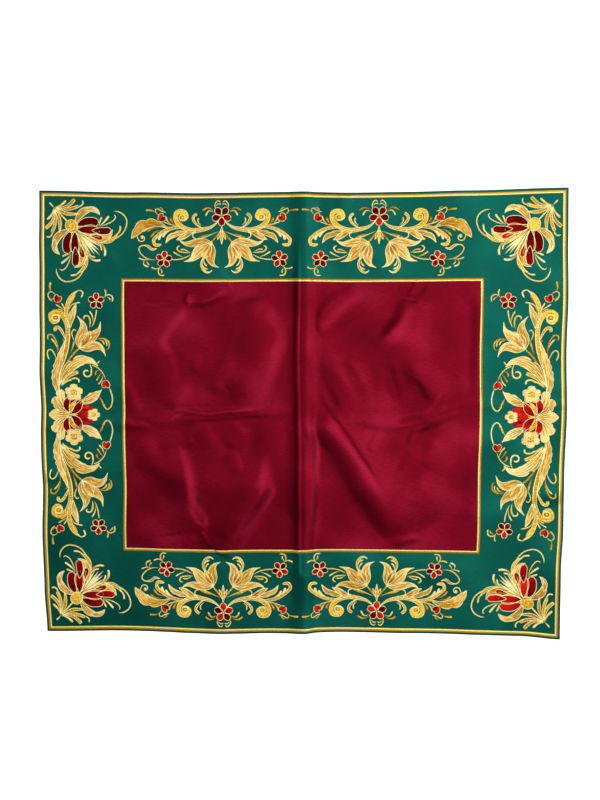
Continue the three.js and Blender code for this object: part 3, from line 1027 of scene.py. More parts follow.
def spiral(centre: Point, start: float, turns: float, radius: float, end: float) -> tuple[Point, ...]:
    """Spine points that wind into a centre.

    Args:
        centre: the spiral's middle.
        start: the angle of its first point, in degrees.
        turns: how far it winds, anticlockwise above zero.
        radius: its first radius.
        end: its last radius.

    Returns:
        The points, eight for each turn.
    """
    count = max(3, math.ceil(abs(turns) * 8))
    points = []
    for step in range(count + 1):
        share = step / count
        angle = math.radians(start) + math.tau * turns * share
        reach = radius + (end - radius) * share
        points.append((centre[0] + reach * math.cos(angle), centre[1] + reach * math.sin(angle)))
    return tuple(points)


def smooth_line(points: np.ndarray, samples: int = 120) -> np.ndarray:
    """A smooth line through points, as evenly spaced samples.

    Args:
        points: two or more points, one row each.
        samples: how many samples there are.

    Returns:
        The samples, one row each.
    """
    knots = np.concatenate([[0], np.cumsum(np.linalg.norm(np.diff(points, axis=0), axis=1))])
    slopes = np.empty_like(points)
    slopes[1:-1] = (points[2:] - points[:-2]) / (knots[2:] - knots[:-2])[:, None]
    first, last = points[1] - points[0], points[-1] - points[-2]
    slopes[0] = 1.5 * first / knots[1] - 0.5 * slopes[1] if len(points) > 2 else first / knots[1]
    reach = knots[-1] - knots[-2]
    slopes[-1] = 1.5 * last / reach - 0.5 * slopes[-2] if len(points) > 2 else last / reach
    at = np.linspace(0, knots[-1], samples)
    cell = np.clip(np.searchsorted(knots, at) - 1, 0, len(points) - 2)
    span = (knots[cell + 1] - knots[cell])[:, None]
    share = (at - knots[cell])[:, None] / span
    line = (
        (2 * share**3 - 3 * share**2 + 1) * points[cell]
        + (share**3 - 2 * share**2 + share) * span * slopes[cell]
        + (3 * share**2 - 2 * share**3) * points[cell + 1]
        + (share**3 - share**2) * span * slopes[cell + 1]
    )
    run = np.concatenate([[0], np.cumsum(np.linalg.norm(np.diff(line, axis=0), axis=1))])
    even = np.linspace(0, run[-1], samples)
    return np.stack([np.interp(even, run, line[:, axis]) for axis in (0, 1)], axis=1)


@dataclass(frozen=True)
class Strand:
    """The ball that a stitched shape starts as: its rings lie along the spine, pole to pole."""

    mesh: bpy.types.Mesh
    along: np.ndarray
    turn: np.ndarray


# How much of the way a strand's rings stand closer together at its ends, where it turns round.
ENDS_CROWDED = 0.4


@cache
def strand(rings: int, sides: int) -> Strand:
    """Models the ball for one count of rings and sides, once.

    Args:
        rings: sections along the spine.
        sides: faces round each section.

    Returns:
        The ball, with each vertex's share along the spine and its turn round the section.
    """
    deselect_all()
    bpy.ops.mesh.primitive_uv_sphere_add(segments=sides, ring_count=rings, radius=1)
    ball = bpy.context.object
    points = mesh_points(ball.data)
    even = np.arccos(np.clip(points[:, 2], -1, 1)) / math.pi
    along = (1 - ENDS_CROWDED) * even + ENDS_CROWDED * (1 - np.cos(math.pi * even)) / 2
    turn = np.arctan2(points[:, 1], points[:, 0])
    mesh = ball.data.copy()
    bpy.data.objects.remove(ball)
    return Strand(mesh, along, turn)


class Needle:
    """Turns stitchings into closed, domed strands that lie on the ground cloth.

    Lengths are millimetres, and tones and painted sheens run from 0 to 1. A strand narrower than
    a limit of side_counts has that many sides.
    """

    ring_counts = (6, 9, 12, 16, 22, 30, 42, 60, 84)
    ring_pitch = 1.8
    side_counts = ((2, 6), (4.5, 8), (math.inf, 12))
    sunk = 0.12
    lowest = 0.5
    swell = 0.1
    highest = 0.9
    taper = 1.05
    pull = 0.9
    edge_width = 1.15
    edge_inset = 0.3
    edge_tone = 0.85
    edge_rise = 0.45
    edge_points = 13
    points_per_lobe = 4
    edged_from = 3.6
    dip = 0.45
    dip_reach = 0.2
    dipped_from = 5
    vein_width = 1.1
    vein_rise = 0.75
    vein_tone = 0.3
    lean = 0.3
    spread = 0.12
    red_sheen = 0.12
    petal_sheen = 0.3
    petal_from = 10
    scallop = 0.42
    lobe_power = 0.6
    rings_per_lobe = 7

    def __init__(self) -> None:
        """Threads nothing yet."""
        self.strands: dict[Spool, list[bpy.types.Object]] = {spool: [] for spool in Spool}
        self.draw = np.random.default_rng(SEED)

    def widths(self, form: Form, along: np.ndarray, round_share: float) -> np.ndarray:
        """The shape's half width as a share of its fullest, at shares along its spine."""
        grow, fade, hollow = form.value
        ends = []
        for share, distance, power in ((grow, along, self.taper), (fade, 1 - along, hollow)):
            if share:
                ends.append(np.sin(math.pi / 2 * np.clip(distance / share, 0, 1)) ** power)
            else:
                inside = np.clip(1 - distance / max(round_share, 1e-6), 0, 1)
                ends.append(np.sqrt(1 - inside**2))
        return np.minimum(*ends)

    def scallops(self, lobes: int, along: np.ndarray) -> np.ndarray:
        """How far a lobed edge draws in, as a share of its width, at shares along the spine."""
        if not lobes:
            return np.ones_like(along)
        return 1 - self.scallop + self.scallop * np.abs(np.sin(math.pi * lobes * along)) ** self.lobe_power

    def stitch(self, stitching: Stitching, placing: Placing) -> None:
        """Makes one strand, with its veins, and its edge cords if it is wide.

        Args:
            stitching: the shape.
            placing: where its motif goes.
        """
        line = smooth_line(np.array(stitching.spine, float))
        length = float(np.linalg.norm(np.diff(line, axis=0), axis=1).sum())
        half = stitching.width / 2 * self.pull
        wanted = max(length / self.ring_pitch, self.rings_per_lobe * stitching.lobes)
        rings = min(self.ring_counts, key=lambda count: abs(count - wanted))
        sides = next(count for limit, count in self.side_counts if stitching.width < limit)
        ball = strand(rings, sides)
        ahead = np.gradient(line, axis=0)
        ahead /= np.linalg.norm(ahead, axis=1)[:, None]
        shares = np.linspace(0, 1, len(line))
        middle = np.stack([np.interp(ball.along, shares, line[:, axis]) for axis in (0, 1)], axis=1)
        heading = np.stack([np.interp(ball.along, shares, ahead[:, axis]) for axis in (0, 1)], axis=1)
        right = np.stack([heading[:, 1], -heading[:, 0]], axis=1)
        across, up = np.cos(ball.turn), np.sin(ball.turn)
        full = self.widths(stitching.form, ball.along, half / length)
        reach = half * full
        if stitching.form is not Form.CORD:
            reach = np.where(across < 0, reach * self.scallops(stitching.lobes, ball.along), reach)
        local = middle + right * (across * reach)[:, None]
        crown = min(self.highest, self.lowest + self.swell * stitching.width) + stitching.over
        # A wide shape dips along its spine, where its stitches meet.
        dip = self.dip if stitching.width >= self.dipped_from else 0
        arch = up * crown * np.sqrt(full) * (1 - dip * np.exp(-((across / self.dip_reach) ** 2)))
        lift = np.where(up > 0, arch, self.sunk * up)
        flat = placing.flat(local)
        mesh = ball.mesh.copy()
        put_points(mesh, np.column_stack([flat, GROUND.thickness + lift]))
        put_uv(mesh, ball.along * length, across * reach)
        if placing.mirror < 0:
            mesh.flip_normals()
        lean = self.lean * (ball.along - 0.5) if stitching.form is not Form.CORD else 0 * ball.along
        # Painted sheen: the red thread is painted lighter towards the cloth's right, and its wide petals
        # lighter towards its bottom.
        painted_sheen_shift = 0
        if stitching.spool is Spool.RED:
            painted_sheen_shift = self.red_sheen * flat[:, 0].mean() / GROUND.width
            if stitching.width > self.petal_from:
                across_share, up_share = flat.mean(axis=0) / (GROUND.width, GROUND.depth)
                painted_sheen_shift += self.petal_sheen * (across_share / 3 - up_share)
        drawn = self.draw.uniform(-self.spread, self.spread)
        tone = np.clip(stitching.tone + lean + painted_sheen_shift + drawn, 0, 1)
        layer = mesh.attributes.new("tone", "FLOAT", "POINT")
        layer.data.foreach_set("value", tone.astype(np.float32))
        piece = bpy.data.objects.new("strand", mesh)
        bpy.context.collection.objects.link(piece)
        self.strands[stitching.spool].append(piece)
        for vein in range(stitching.veins):
            share = (vein + 1) / (stitching.veins + 1) * 2 - 1
            # A vein starts a little way in and stops short of the tip.
            part = slice(len(line) // 10, -len(line) // 7, len(line) // 12)
            aside = np.stack([ahead[:, 1], -ahead[:, 0]], axis=1)
            reach = share * half * self.widths(stitching.form, shares, half / length)
            spine = tuple(map(tuple, (line + aside * reach[:, None])[part]))
            rise = crown * self.vein_rise
            row = Stitching(Spool.GOLD, Form.LEAF, self.vein_width, spine, self.vein_tone, over=rise)
            self.stitch(row, placing)
        if stitching.edged and stitching.width >= self.edged_from and stitching.spool is not Spool.CREAM:
            self.edge(stitching, line, ahead, placing, crown * self.edge_rise)

    def edge(
        self, stitching: Stitching, line: np.ndarray, ahead: np.ndarray, placing: Placing, over: float
    ) -> None:
        """Lays a cream cord down each side of a wide shape.

        Args:
            stitching: the shape.
            line: its spine's samples.
            ahead: the spine's direction at each sample.
            placing: where its motif goes.
            over: how much higher than a thin shape the cords stand.
        """
        length = float(np.linalg.norm(np.diff(line, axis=0), axis=1).sum())
        half = stitching.width / 2 * self.pull - self.edge_inset
        count = self.edge_points + self.points_per_lobe * stitching.lobes
        # The points stand closer together where the shape turns round its ends.
        shares = (1 - np.cos(math.pi * np.linspace(0, 1, count))) / 2
        samples = np.linspace(0, 1, len(line))
        middle = np.stack([np.interp(shares, samples, line[:, axis]) for axis in (0, 1)], axis=1)
        heading = np.stack([np.interp(shares, samples, ahead[:, axis]) for axis in (0, 1)], axis=1)
        reach = half * self.widths(stitching.form, shares, half / length)
        for side in (-1, 1):
            rim_reach = reach * self.scallops(stitching.lobes, shares) if side < 0 else reach
            right = np.stack([heading[:, 1], -heading[:, 0]], axis=1) * side
            rim = middle + right * rim_reach[:, None]
            spine = tuple(map(tuple, rim))
            cord = Stitching(
                Spool.CREAM, Form.CORD, self.edge_width, spine, self.edge_tone, stitching.lobes, over=over
            )
            self.stitch(cord, placing)

    def gather(self, name: str) -> None:
        """Joins the strands of each thread into one piece and dresses it.

        Args:
            name: the motifs' name.
        """
        for spool, strands in self.strands.items():
            if not strands:
                continue
            deselect_all()
            for piece in strands:
                piece.select_set(True)
            bpy.context.view_layer.objects.active = strands[0]
            bpy.ops.object.join()
            u, v, up = mesh_points(bpy.context.object.data).T
            put_points(bpy.context.object.data, lay(u, v, up))
            thread_name = spool.name.lower()
            finish_piece(bpy.context.object, f"{name}_{thread_name}", thread(spool))
            strands.clear()


@cache
def thread(spool: Spool) -> bpy.types.Material:
    """The one material that all stitching from a spool shares."""
    return spool.value.build()


def mirrored(rows: Iterable[Stitching]) -> Iterator[Stitching]:
    """Each stitching, and again on the other side of its motif's x axis."""
    for row in rows:
        for side in (1, -1):
            spine = tuple((x, side * y) for x, y in row.spine)
            yield replace(row, spine=spine)


def around(centre: Point, heading: float, size: float, outline: Iterable[Point]) -> tuple[Point, ...]:
    """Points of an outline turned to a heading, in degrees, and set about a centre."""
    ahead, aside = math.cos(math.radians(heading)), math.sin(math.radians(heading))
    return tuple(
        (centre[0] + size * (x * ahead - y * aside), centre[1] + size * (x * aside + y * ahead))
        for x, y in outline
    )


def flower(centre: Point, radius: float, first: float) -> Iterator[Stitching]:
    """A flower of five red petals round a gold eye.

    Args:
        centre: the flower's middle.
        radius: how far its petals reach.
        first: the heading of its first petal, in degrees.

    Yields:
        The petals and the eye.
    """
    # The petals' tones are partly a painted sheen: some are painted lighter and some darker, as their
    # stitches would catch the light.
    tones = (0.64, 0.14, 0.46, 0.1, 0.54)
    petal_width = radius * 0.82
    for number, tone in enumerate(tones):
        spine = around(centre, first + 360 * number / len(tones), radius, ((0.08, 0), (0.5, 0), (1, 0)))
        yield Stitching(Spool.RED, Form.DROP, petal_width, spine, tone)
    yield disc(Spool.CREAM, centre, 1.1, 0.5, over=0.6)


def heart(centre: Point, size: float, heading: float) -> Iterator[Stitching]:
    """A round, heart-shaped red bud whose notch is away from its heading, in degrees."""
    lobe = ((0.42, 0.05), (0.06, 0.2), (-0.42, 0.25))
    rim = ((0.52, 0), (0.42, 0.26), (0.12, 0.5), (-0.26, 0.56), (-0.54, 0.34), (-0.46, 0.1), (-0.26, 0))
    for side in (-1, 1):
        spine = around(centre, heading, size, ((x, side * y) for x, y in lobe))
        yield Stitching(Spool.RED, Form.CORD, size * 0.54, spine, 0.75 if side > 0 else 0.55, edged=False)
    for side in (-1, 1):
        spine = around(centre, heading, size, ((x, side * y) for x, y in rim))
        yield Stitching(Spool.CREAM, Form.CORD, 1.2, spine, 0.6, over=0.2)


def disc(spool: Spool, centre: Point, radius: float, tone: float = 0.5, **options: object) -> Stitching:
    """A round, domed patch."""
    spine = tuple((centre[0] + radius * share, centre[1]) for share in (-1, 0, 1))
    return Stitching(spool, Form.CORD, 2 * radius, spine, tone, **options)


def knob(centre: Point, radius: float) -> Iterator[Stitching]:
    """The ball in which a stem ends: a pale rim round a golden core."""
    yield disc(Spool.CREAM, centre, radius, 0.6)
    for share, tone, over in ((0.68, 0.3, 0.25), (0.34, 0.8, 0.45)):
        yield disc(Spool.GOLD, centre, radius * share, tone, edged=False, over=over)


def rosette(
    centre: Point, radius: float, start: float, clouds: int = 0, over: float = 0
) -> Iterator[Stitching]:
    """A golden disc with a swirl on it, with or without a ring of beige lobes, the clouds."""
    core = radius * (0.5 if clouds else 1)
    cloud_place, cloud_radius, cloud_step = radius * 0.58, radius * 0.44, 0.03
    for number in range(clouds):
        place = around(centre, start + 360 * number / clouds, 1, ((cloud_place, 0),))[0]
        yield disc(Spool.BEIGE, place, cloud_radius, 0.75, over=over + cloud_step * number)
    yield disc(Spool.GOLD, centre, core, 0.4 if clouds else 0.6, over=over + 0.25)
    swirl = spiral(centre, start, 1.5, core * 0.66, core * 0.1)
    yield Stitching(Spool.CREAM, Form.STEM, 1.5, swirl, 0.55, over=over + (0.75 if clouds else 0.65))


def corner_spray() -> Iterator[Stitching]:
    """The spray in a corner: x runs inwards from the corner, and it is alike on both sides."""
    cream, gold, beige, red = Spool.CREAM, Spool.GOLD, Spool.BEIGE, Spool.RED
    comma, leaf, blade, stem, drop = Form.COMMA, Form.LEAF, Form.BLADE, Form.STEM, Form.DROP
    # Sprig
    yield Stitching(cream, comma, 2.6, ((2, 0), (-3, 0), (-7.5, 0)), 0.7)
    yield Stitching(cream, stem, 2.5, ((0, 0), (14, 0), (29, 0)), 0.6)
    yield from mirrored((
        Stitching(cream, comma, 3.6, ((2, 1), (6, 8), (6.6, 18.5)), 0.6),
        Stitching(gold, comma, 4.8, ((3, 1), (12.8, 13), (13.6, 28)), 0.4, over=0.1),
        Stitching(gold, comma, 4.6, ((3, 1), (16.6, 12), (23.8, 25.4)), 0.5, over=0.2),
        Stitching(cream, stem, 2.3, ((22, 22), (25.5, 27), (25.5, 32), (21.5, 34.5)), 0.6),
        Stitching(gold, leaf, 5.2, ((4, 1), (20, 7), (32, 19.4)), 0.45, over=0.1),
    ))
    # Sepals and their disc
    yield from mirrored((
        Stitching(beige, leaf, 11, ((38, 5), (34, 15), (33.5, 25), (38, 34), (45, 38.5)), 0.5, veins=3),
        Stitching(beige, leaf, 8, ((33, 27), (38, 35), (45, 38.5), (52, 38)), 0.6, veins=1, over=0.2),
    ))
    yield from rosette((36.3, 0), 9, 200)
    # Petals
    yield from mirrored((
        Stitching(beige, leaf, 12, ((52, 4), (64, 9), (75, 17), (80, 27), (77, 37)), 0.4, 4),
        Stitching(red, drop, 8.5, ((60, 9.5), (68, 13.6), (77, 18.6)), 0.39, over=0.2),
        Stitching(red, drop, 11, ((58.5, 15.5), (66, 22), (72, 28), (76.6, 34.4)), 0.34, over=0.75),
        Stitching(red, drop, 13.5, ((40.5, 3), (43.6, 14), (50, 23), (58.6, 28.6)), 0.32, over=0.1),
        Stitching(red, blade, 16, ((43.5, 1), (54, 11.4), (67, 24)), 0.44, over=0.3),
        Stitching(gold, leaf, 3.6, ((46, 1), (59, 5), (70, 12)), 0.45),
    ))
    # Stamens above the petals, and the arm that sweeps round them
    yield from mirrored((
        Stitching(cream, comma, 2.8, ((62, 26), (58.5, 31), (55.5, 38)), 0.6),
        Stitching(cream, comma, 3.4, ((62, 26), (62.4, 36), (61, 46)), 0.7),
        Stitching(cream, stem, 1.8, ((63, 28), (68, 39), (69.6, 47), (68, 51.5), (64.4, 52)), 0.6),
        Stitching(
            cream, stem, 2.2,
            ((58, 1), (71.4, 7), (80, 15), (87, 27), (90.4, 39.4), (89, 49), (83, 58), (75, 61), (66, 59),
             (60.7, 54.4)),
            0.55,
        ),
        Stitching(gold, leaf, 5.6, ((78, 12), (85, 22), (87, 31), (85.5, 39)), 0.45),
        Stitching(cream, comma, 3, ((86.5, 32), (85.5, 42), (80.6, 48)), 0.6),
    ))
    # Fan
    yield from mirrored((
        Stitching(cream, leaf, 3.8, ((48, 1), (64, 4.6), (82, 8.6)), 0.7, over=0.1),
        Stitching(gold, leaf, 3, ((48, 1), (62, 2.2), (76, 4.2)), 0.5, edged=False),
        Stitching(cream, leaf, 3.2, ((52, 1), (70, 2.4), (85, 4.4)), 0.9, over=0.2),
        Stitching(gold, leaf, 3, ((50, 2), (62, 7), (73, 12)), 0.4, edged=False),
        Stitching(cream, comma, 2.6, ((72, 9), (81, 9.6), (87.5, 6)), 0.7),
        Stitching(cream, comma, 3.6, ((70, 9.5), (83, 12), (91, 9), (95, 3.4)), 0.6),
        Stitching(gold, comma, 2, ((74, 10.4), (84, 12), (90, 9)), 0.3, over=0.3),
    ))
    yield Stitching(cream, leaf, 4, ((48, 0), (68, 0), (90, 0)), 0.9, over=0.3)


def long_scroll() -> Iterator[Stitching]:
    """The scroll on a long side, on the positive side of its middle."""
    cream, gold, beige = Spool.CREAM, Spool.GOLD, Spool.BEIGE
    comma, leaf, stem, drop, claw = Form.COMMA, Form.LEAF, Form.STEM, Form.DROP, Form.CLAW
    winding = spiral((54, 29), -50, 0.8, 9, 6.5)
    yield Stitching(gold, stem, 6.6, ((4, 24), (13, 16), (25, 12.5), (37.5, 11), (50, 14), *winding), 0.55)
    yield Stitching(cream, stem, 1.2, ((7, 21), (16, 14.5), (27, 12), (38, 11), (50, 14.5)), 0.8, over=0.4)
    yield from knob((52.5, 28), 6)
    yield Stitching(gold, comma, 4, ((24, 13), (31, 17), (37, 23), (38, 29), (33, 33)), 0.5)
    yield Stitching(cream, comma, 2.2, ((26, 17), (31.5, 22), (31, 28)), 0.6)
    yield Stitching(beige, leaf, 10, ((34, 11), (46, 7), (54, 1), (61, -2)), 0.45, 2, veins=2)
    yield Stitching(beige, leaf, 8.5, ((46, 9), (60, 6.5), (69, 2), (75, -7)), 0.5, 2, veins=1, over=0.15)
    yield Stitching(
        gold, stem, 4.8, ((48, 14), (62, 14.4), (74, 11), (84, 4.5), (91, -3), (88.5, -9), (80, -8)), 0.55
    )
    yield Stitching(cream, stem, 1.2, ((54, 15), (66, 14), (76, 10), (85, 3), (89, -3)), 0.8, over=0.4)
    yield Stitching(cream, comma, 3.6, ((68, 11), (75, 7), (79, 1)), 0.7)
    yield Stitching(cream, comma, 4, ((76, 8), (82, 3), (84, -3)), 0.8)
    yield Stitching(cream, stem, 1.8, ((57, 17), (68, 18.5), (78, 22)), 0.5)
    yield Stitching(gold, comma, 3.2, ((63, 18), (67, 23), (69, 28)), 0.5)
    yield Stitching(cream, comma, 2.6, ((68, 19), (73, 24), (75, 30)), 0.5)
    yield from heart((80.5, 27), 10, -45)
    yield Stitching(
        cream, stem, 1.7, ((83, 30), (88.5, 35), (87.5, 39.5), (83, 37.5), (79, 35.5), (74.5, 35))
    )
    yield Stitching(gold, comma, 3.2, ((88, 35), (95, 37), (102, 37)), 0.6)
    yield Stitching(gold, comma, 2.2, ((85, 37), (82, 41), (78, 36)), 0.5)
    yield Stitching(
        cream, stem, 1.8, ((3, 10), (14, 5.5), (24, 1.5), (33, -0.5), (38.5, 2.5), (38, 7), (34, 7.5))
    )
    yield Stitching(gold, leaf, 3.4, ((12, 6), (22, 4), (32, 1)), 0.5)
    yield Stitching(gold, stem, 2.6, ((2, 10), (8, 2), (15, -6)), 0.5)
    yield Stitching(gold, leaf, 3.6, ((0.5, 12), (3.5, 4), (5.5, -2)), 0.4)
    # Tulip
    yield Stitching(beige, drop, 20, ((13, -7), (21, -13), (28, -21)), 0.4, edged=False)
    yield Stitching(
        beige, claw, 12, ((12, -6), (23, -4), (36, -6), (47, -7), (54, -4), (57.5, 1)), 0.5, veins=2
    )
    yield Stitching(
        beige, claw, 17, ((12, -6), (22, -11), (31, -18), (39, -27), (51, -31)), 0.55, veins=3, over=0.1
    )
    yield Stitching(
        beige, claw, 14, ((13, -6), (13, -14), (15, -24), (12, -34), (3, -39)), 0.5, veins=2, over=0.15
    )
    yield Stitching(beige, leaf, 13, ((13, -7), (18, -14), (22, -22), (25, -28)), 0.42, veins=2, over=0.3)
    yield Stitching(gold, leaf, 3.6, ((24, -24), (27, -34), (24, -42), (18, -45.5), (12.5, -42)), 0.55)
    yield Stitching(cream, comma, 2.6, ((24, -26), (23, -33), (19, -37)), 0.6)
    yield Stitching(cream, comma, 2.4, ((26, -34), (23, -39), (18, -41)), 0.6)
    yield Stitching(cream, stem, 2.2, ((40, -19), (50, -18.5), (57, -17), (59.5, -12.5), (55, -9.5)))
    yield Stitching(cream, comma, 2.2, ((42, -19), (49, -15), (55, -15)), 0.5)
    yield Stitching(cream, comma, 2.4, ((50, -25), (58, -22), (65, -17.5)), 0.5)
    yield Stitching(cream, stem, 1.9, ((40, -21), (53, -27), (67, -28.5)), 0.5)
    yield from flower((77, -28), 11, 95)
    yield Stitching(cream, stem, 2, ((81, -37), (85, -43), (83, -49), (76, -49.5)))
    yield Stitching(cream, comma, 2.2, ((83, -40), (80, -44), (81, -47)), 0.5)
    yield Stitching(cream, comma, 2.4, ((82, -38), (88, -41), (94.5, -38.5)), 0.5)
    # Beside the middle flower
    yield Stitching(cream, stem, 1.9, ((7, 38), (9, 45), (5, 50.5), (1.5, 48)))
    yield Stitching(cream, comma, 1.8, ((8, 42), (5, 46), (0.5, 45.5)))
    yield Stitching(gold, comma, 2.6, ((10, 36), (18, 41), (26, 37)), 0.5)
    yield Stitching(cream, comma, 2.6, ((10, 35), (17, 37), (21.5, 30)), 0.5)


def long_scroll_end() -> Iterator[Stitching]:
    """What a long side's scroll has only on its half towards the corner."""
    cream, gold, beige = Spool.CREAM, Spool.GOLD, Spool.BEIGE
    comma, leaf, blade, stem = Form.COMMA, Form.LEAF, Form.BLADE, Form.STEM
    yield Stitching(gold, stem, 3.4, ((58, 14), (70, 14), (82, 18)), 0.5)
    yield Stitching(
        beige, blade, 16, ((72, 13), (84, 19), (98, 20), (109, 15), (116, 6.5), (121, -1)), 0.45, 4, veins=3
    )
    yield Stitching(
        gold, leaf, 4.4, ((74, 14), (87, 22), (101, 21.5), (112, 14), (117, 5)), 0.5, edged=False, over=0.4
    )
    yield Stitching(cream, stem, 1.9, ((110, 9), (113.5, 3), *spiral((107, 0), 0, -0.9, 5.4, 2.6)), 0.6)
    yield disc(cream, (106.6, 0.6), 1.9, 0.7)
    yield Stitching(gold, comma, 3, ((84, 13), (93, 13), (100, 8)), 0.5)
    yield Stitching(gold, comma, 3, ((80, 11), (89, 8), (95, 1)), 0.55)
    yield Stitching(cream, comma, 2.2, ((88, 14), (98, 13), (105, 8)), 0.5)
    yield Stitching(
        cream, stem, 2, ((87, -29), (99, -27.5), (108, -21), (111, -14), (107, -10), (100, -10.5))
    )
    yield Stitching(gold, leaf, 4, ((105, -9.5), (98, -11), (93, -15), (86, -13.2)), 0.5)
    yield Stitching(cream, comma, 2.2, ((97, -28), (104, -29), (111.5, -26.5)), 0.5)
    yield Stitching(cream, comma, 2.8, ((103, -29), (104.5, -35), (98, -38.5)), 0.5)
    yield Stitching(cream, comma, 2, ((100, -29), (99.5, -33), (96.5, -36)), 0.5)


def long_scroll_middle() -> Iterator[Stitching]:
    """The flower and the drop leaf in the middle of a long side's scroll."""
    yield from flower((0, 30), 13, 270)
    yield Stitching(Spool.GOLD, Form.LEAF, 4.8, ((0, 17), (0, 5), (0, -8)), 0.55)


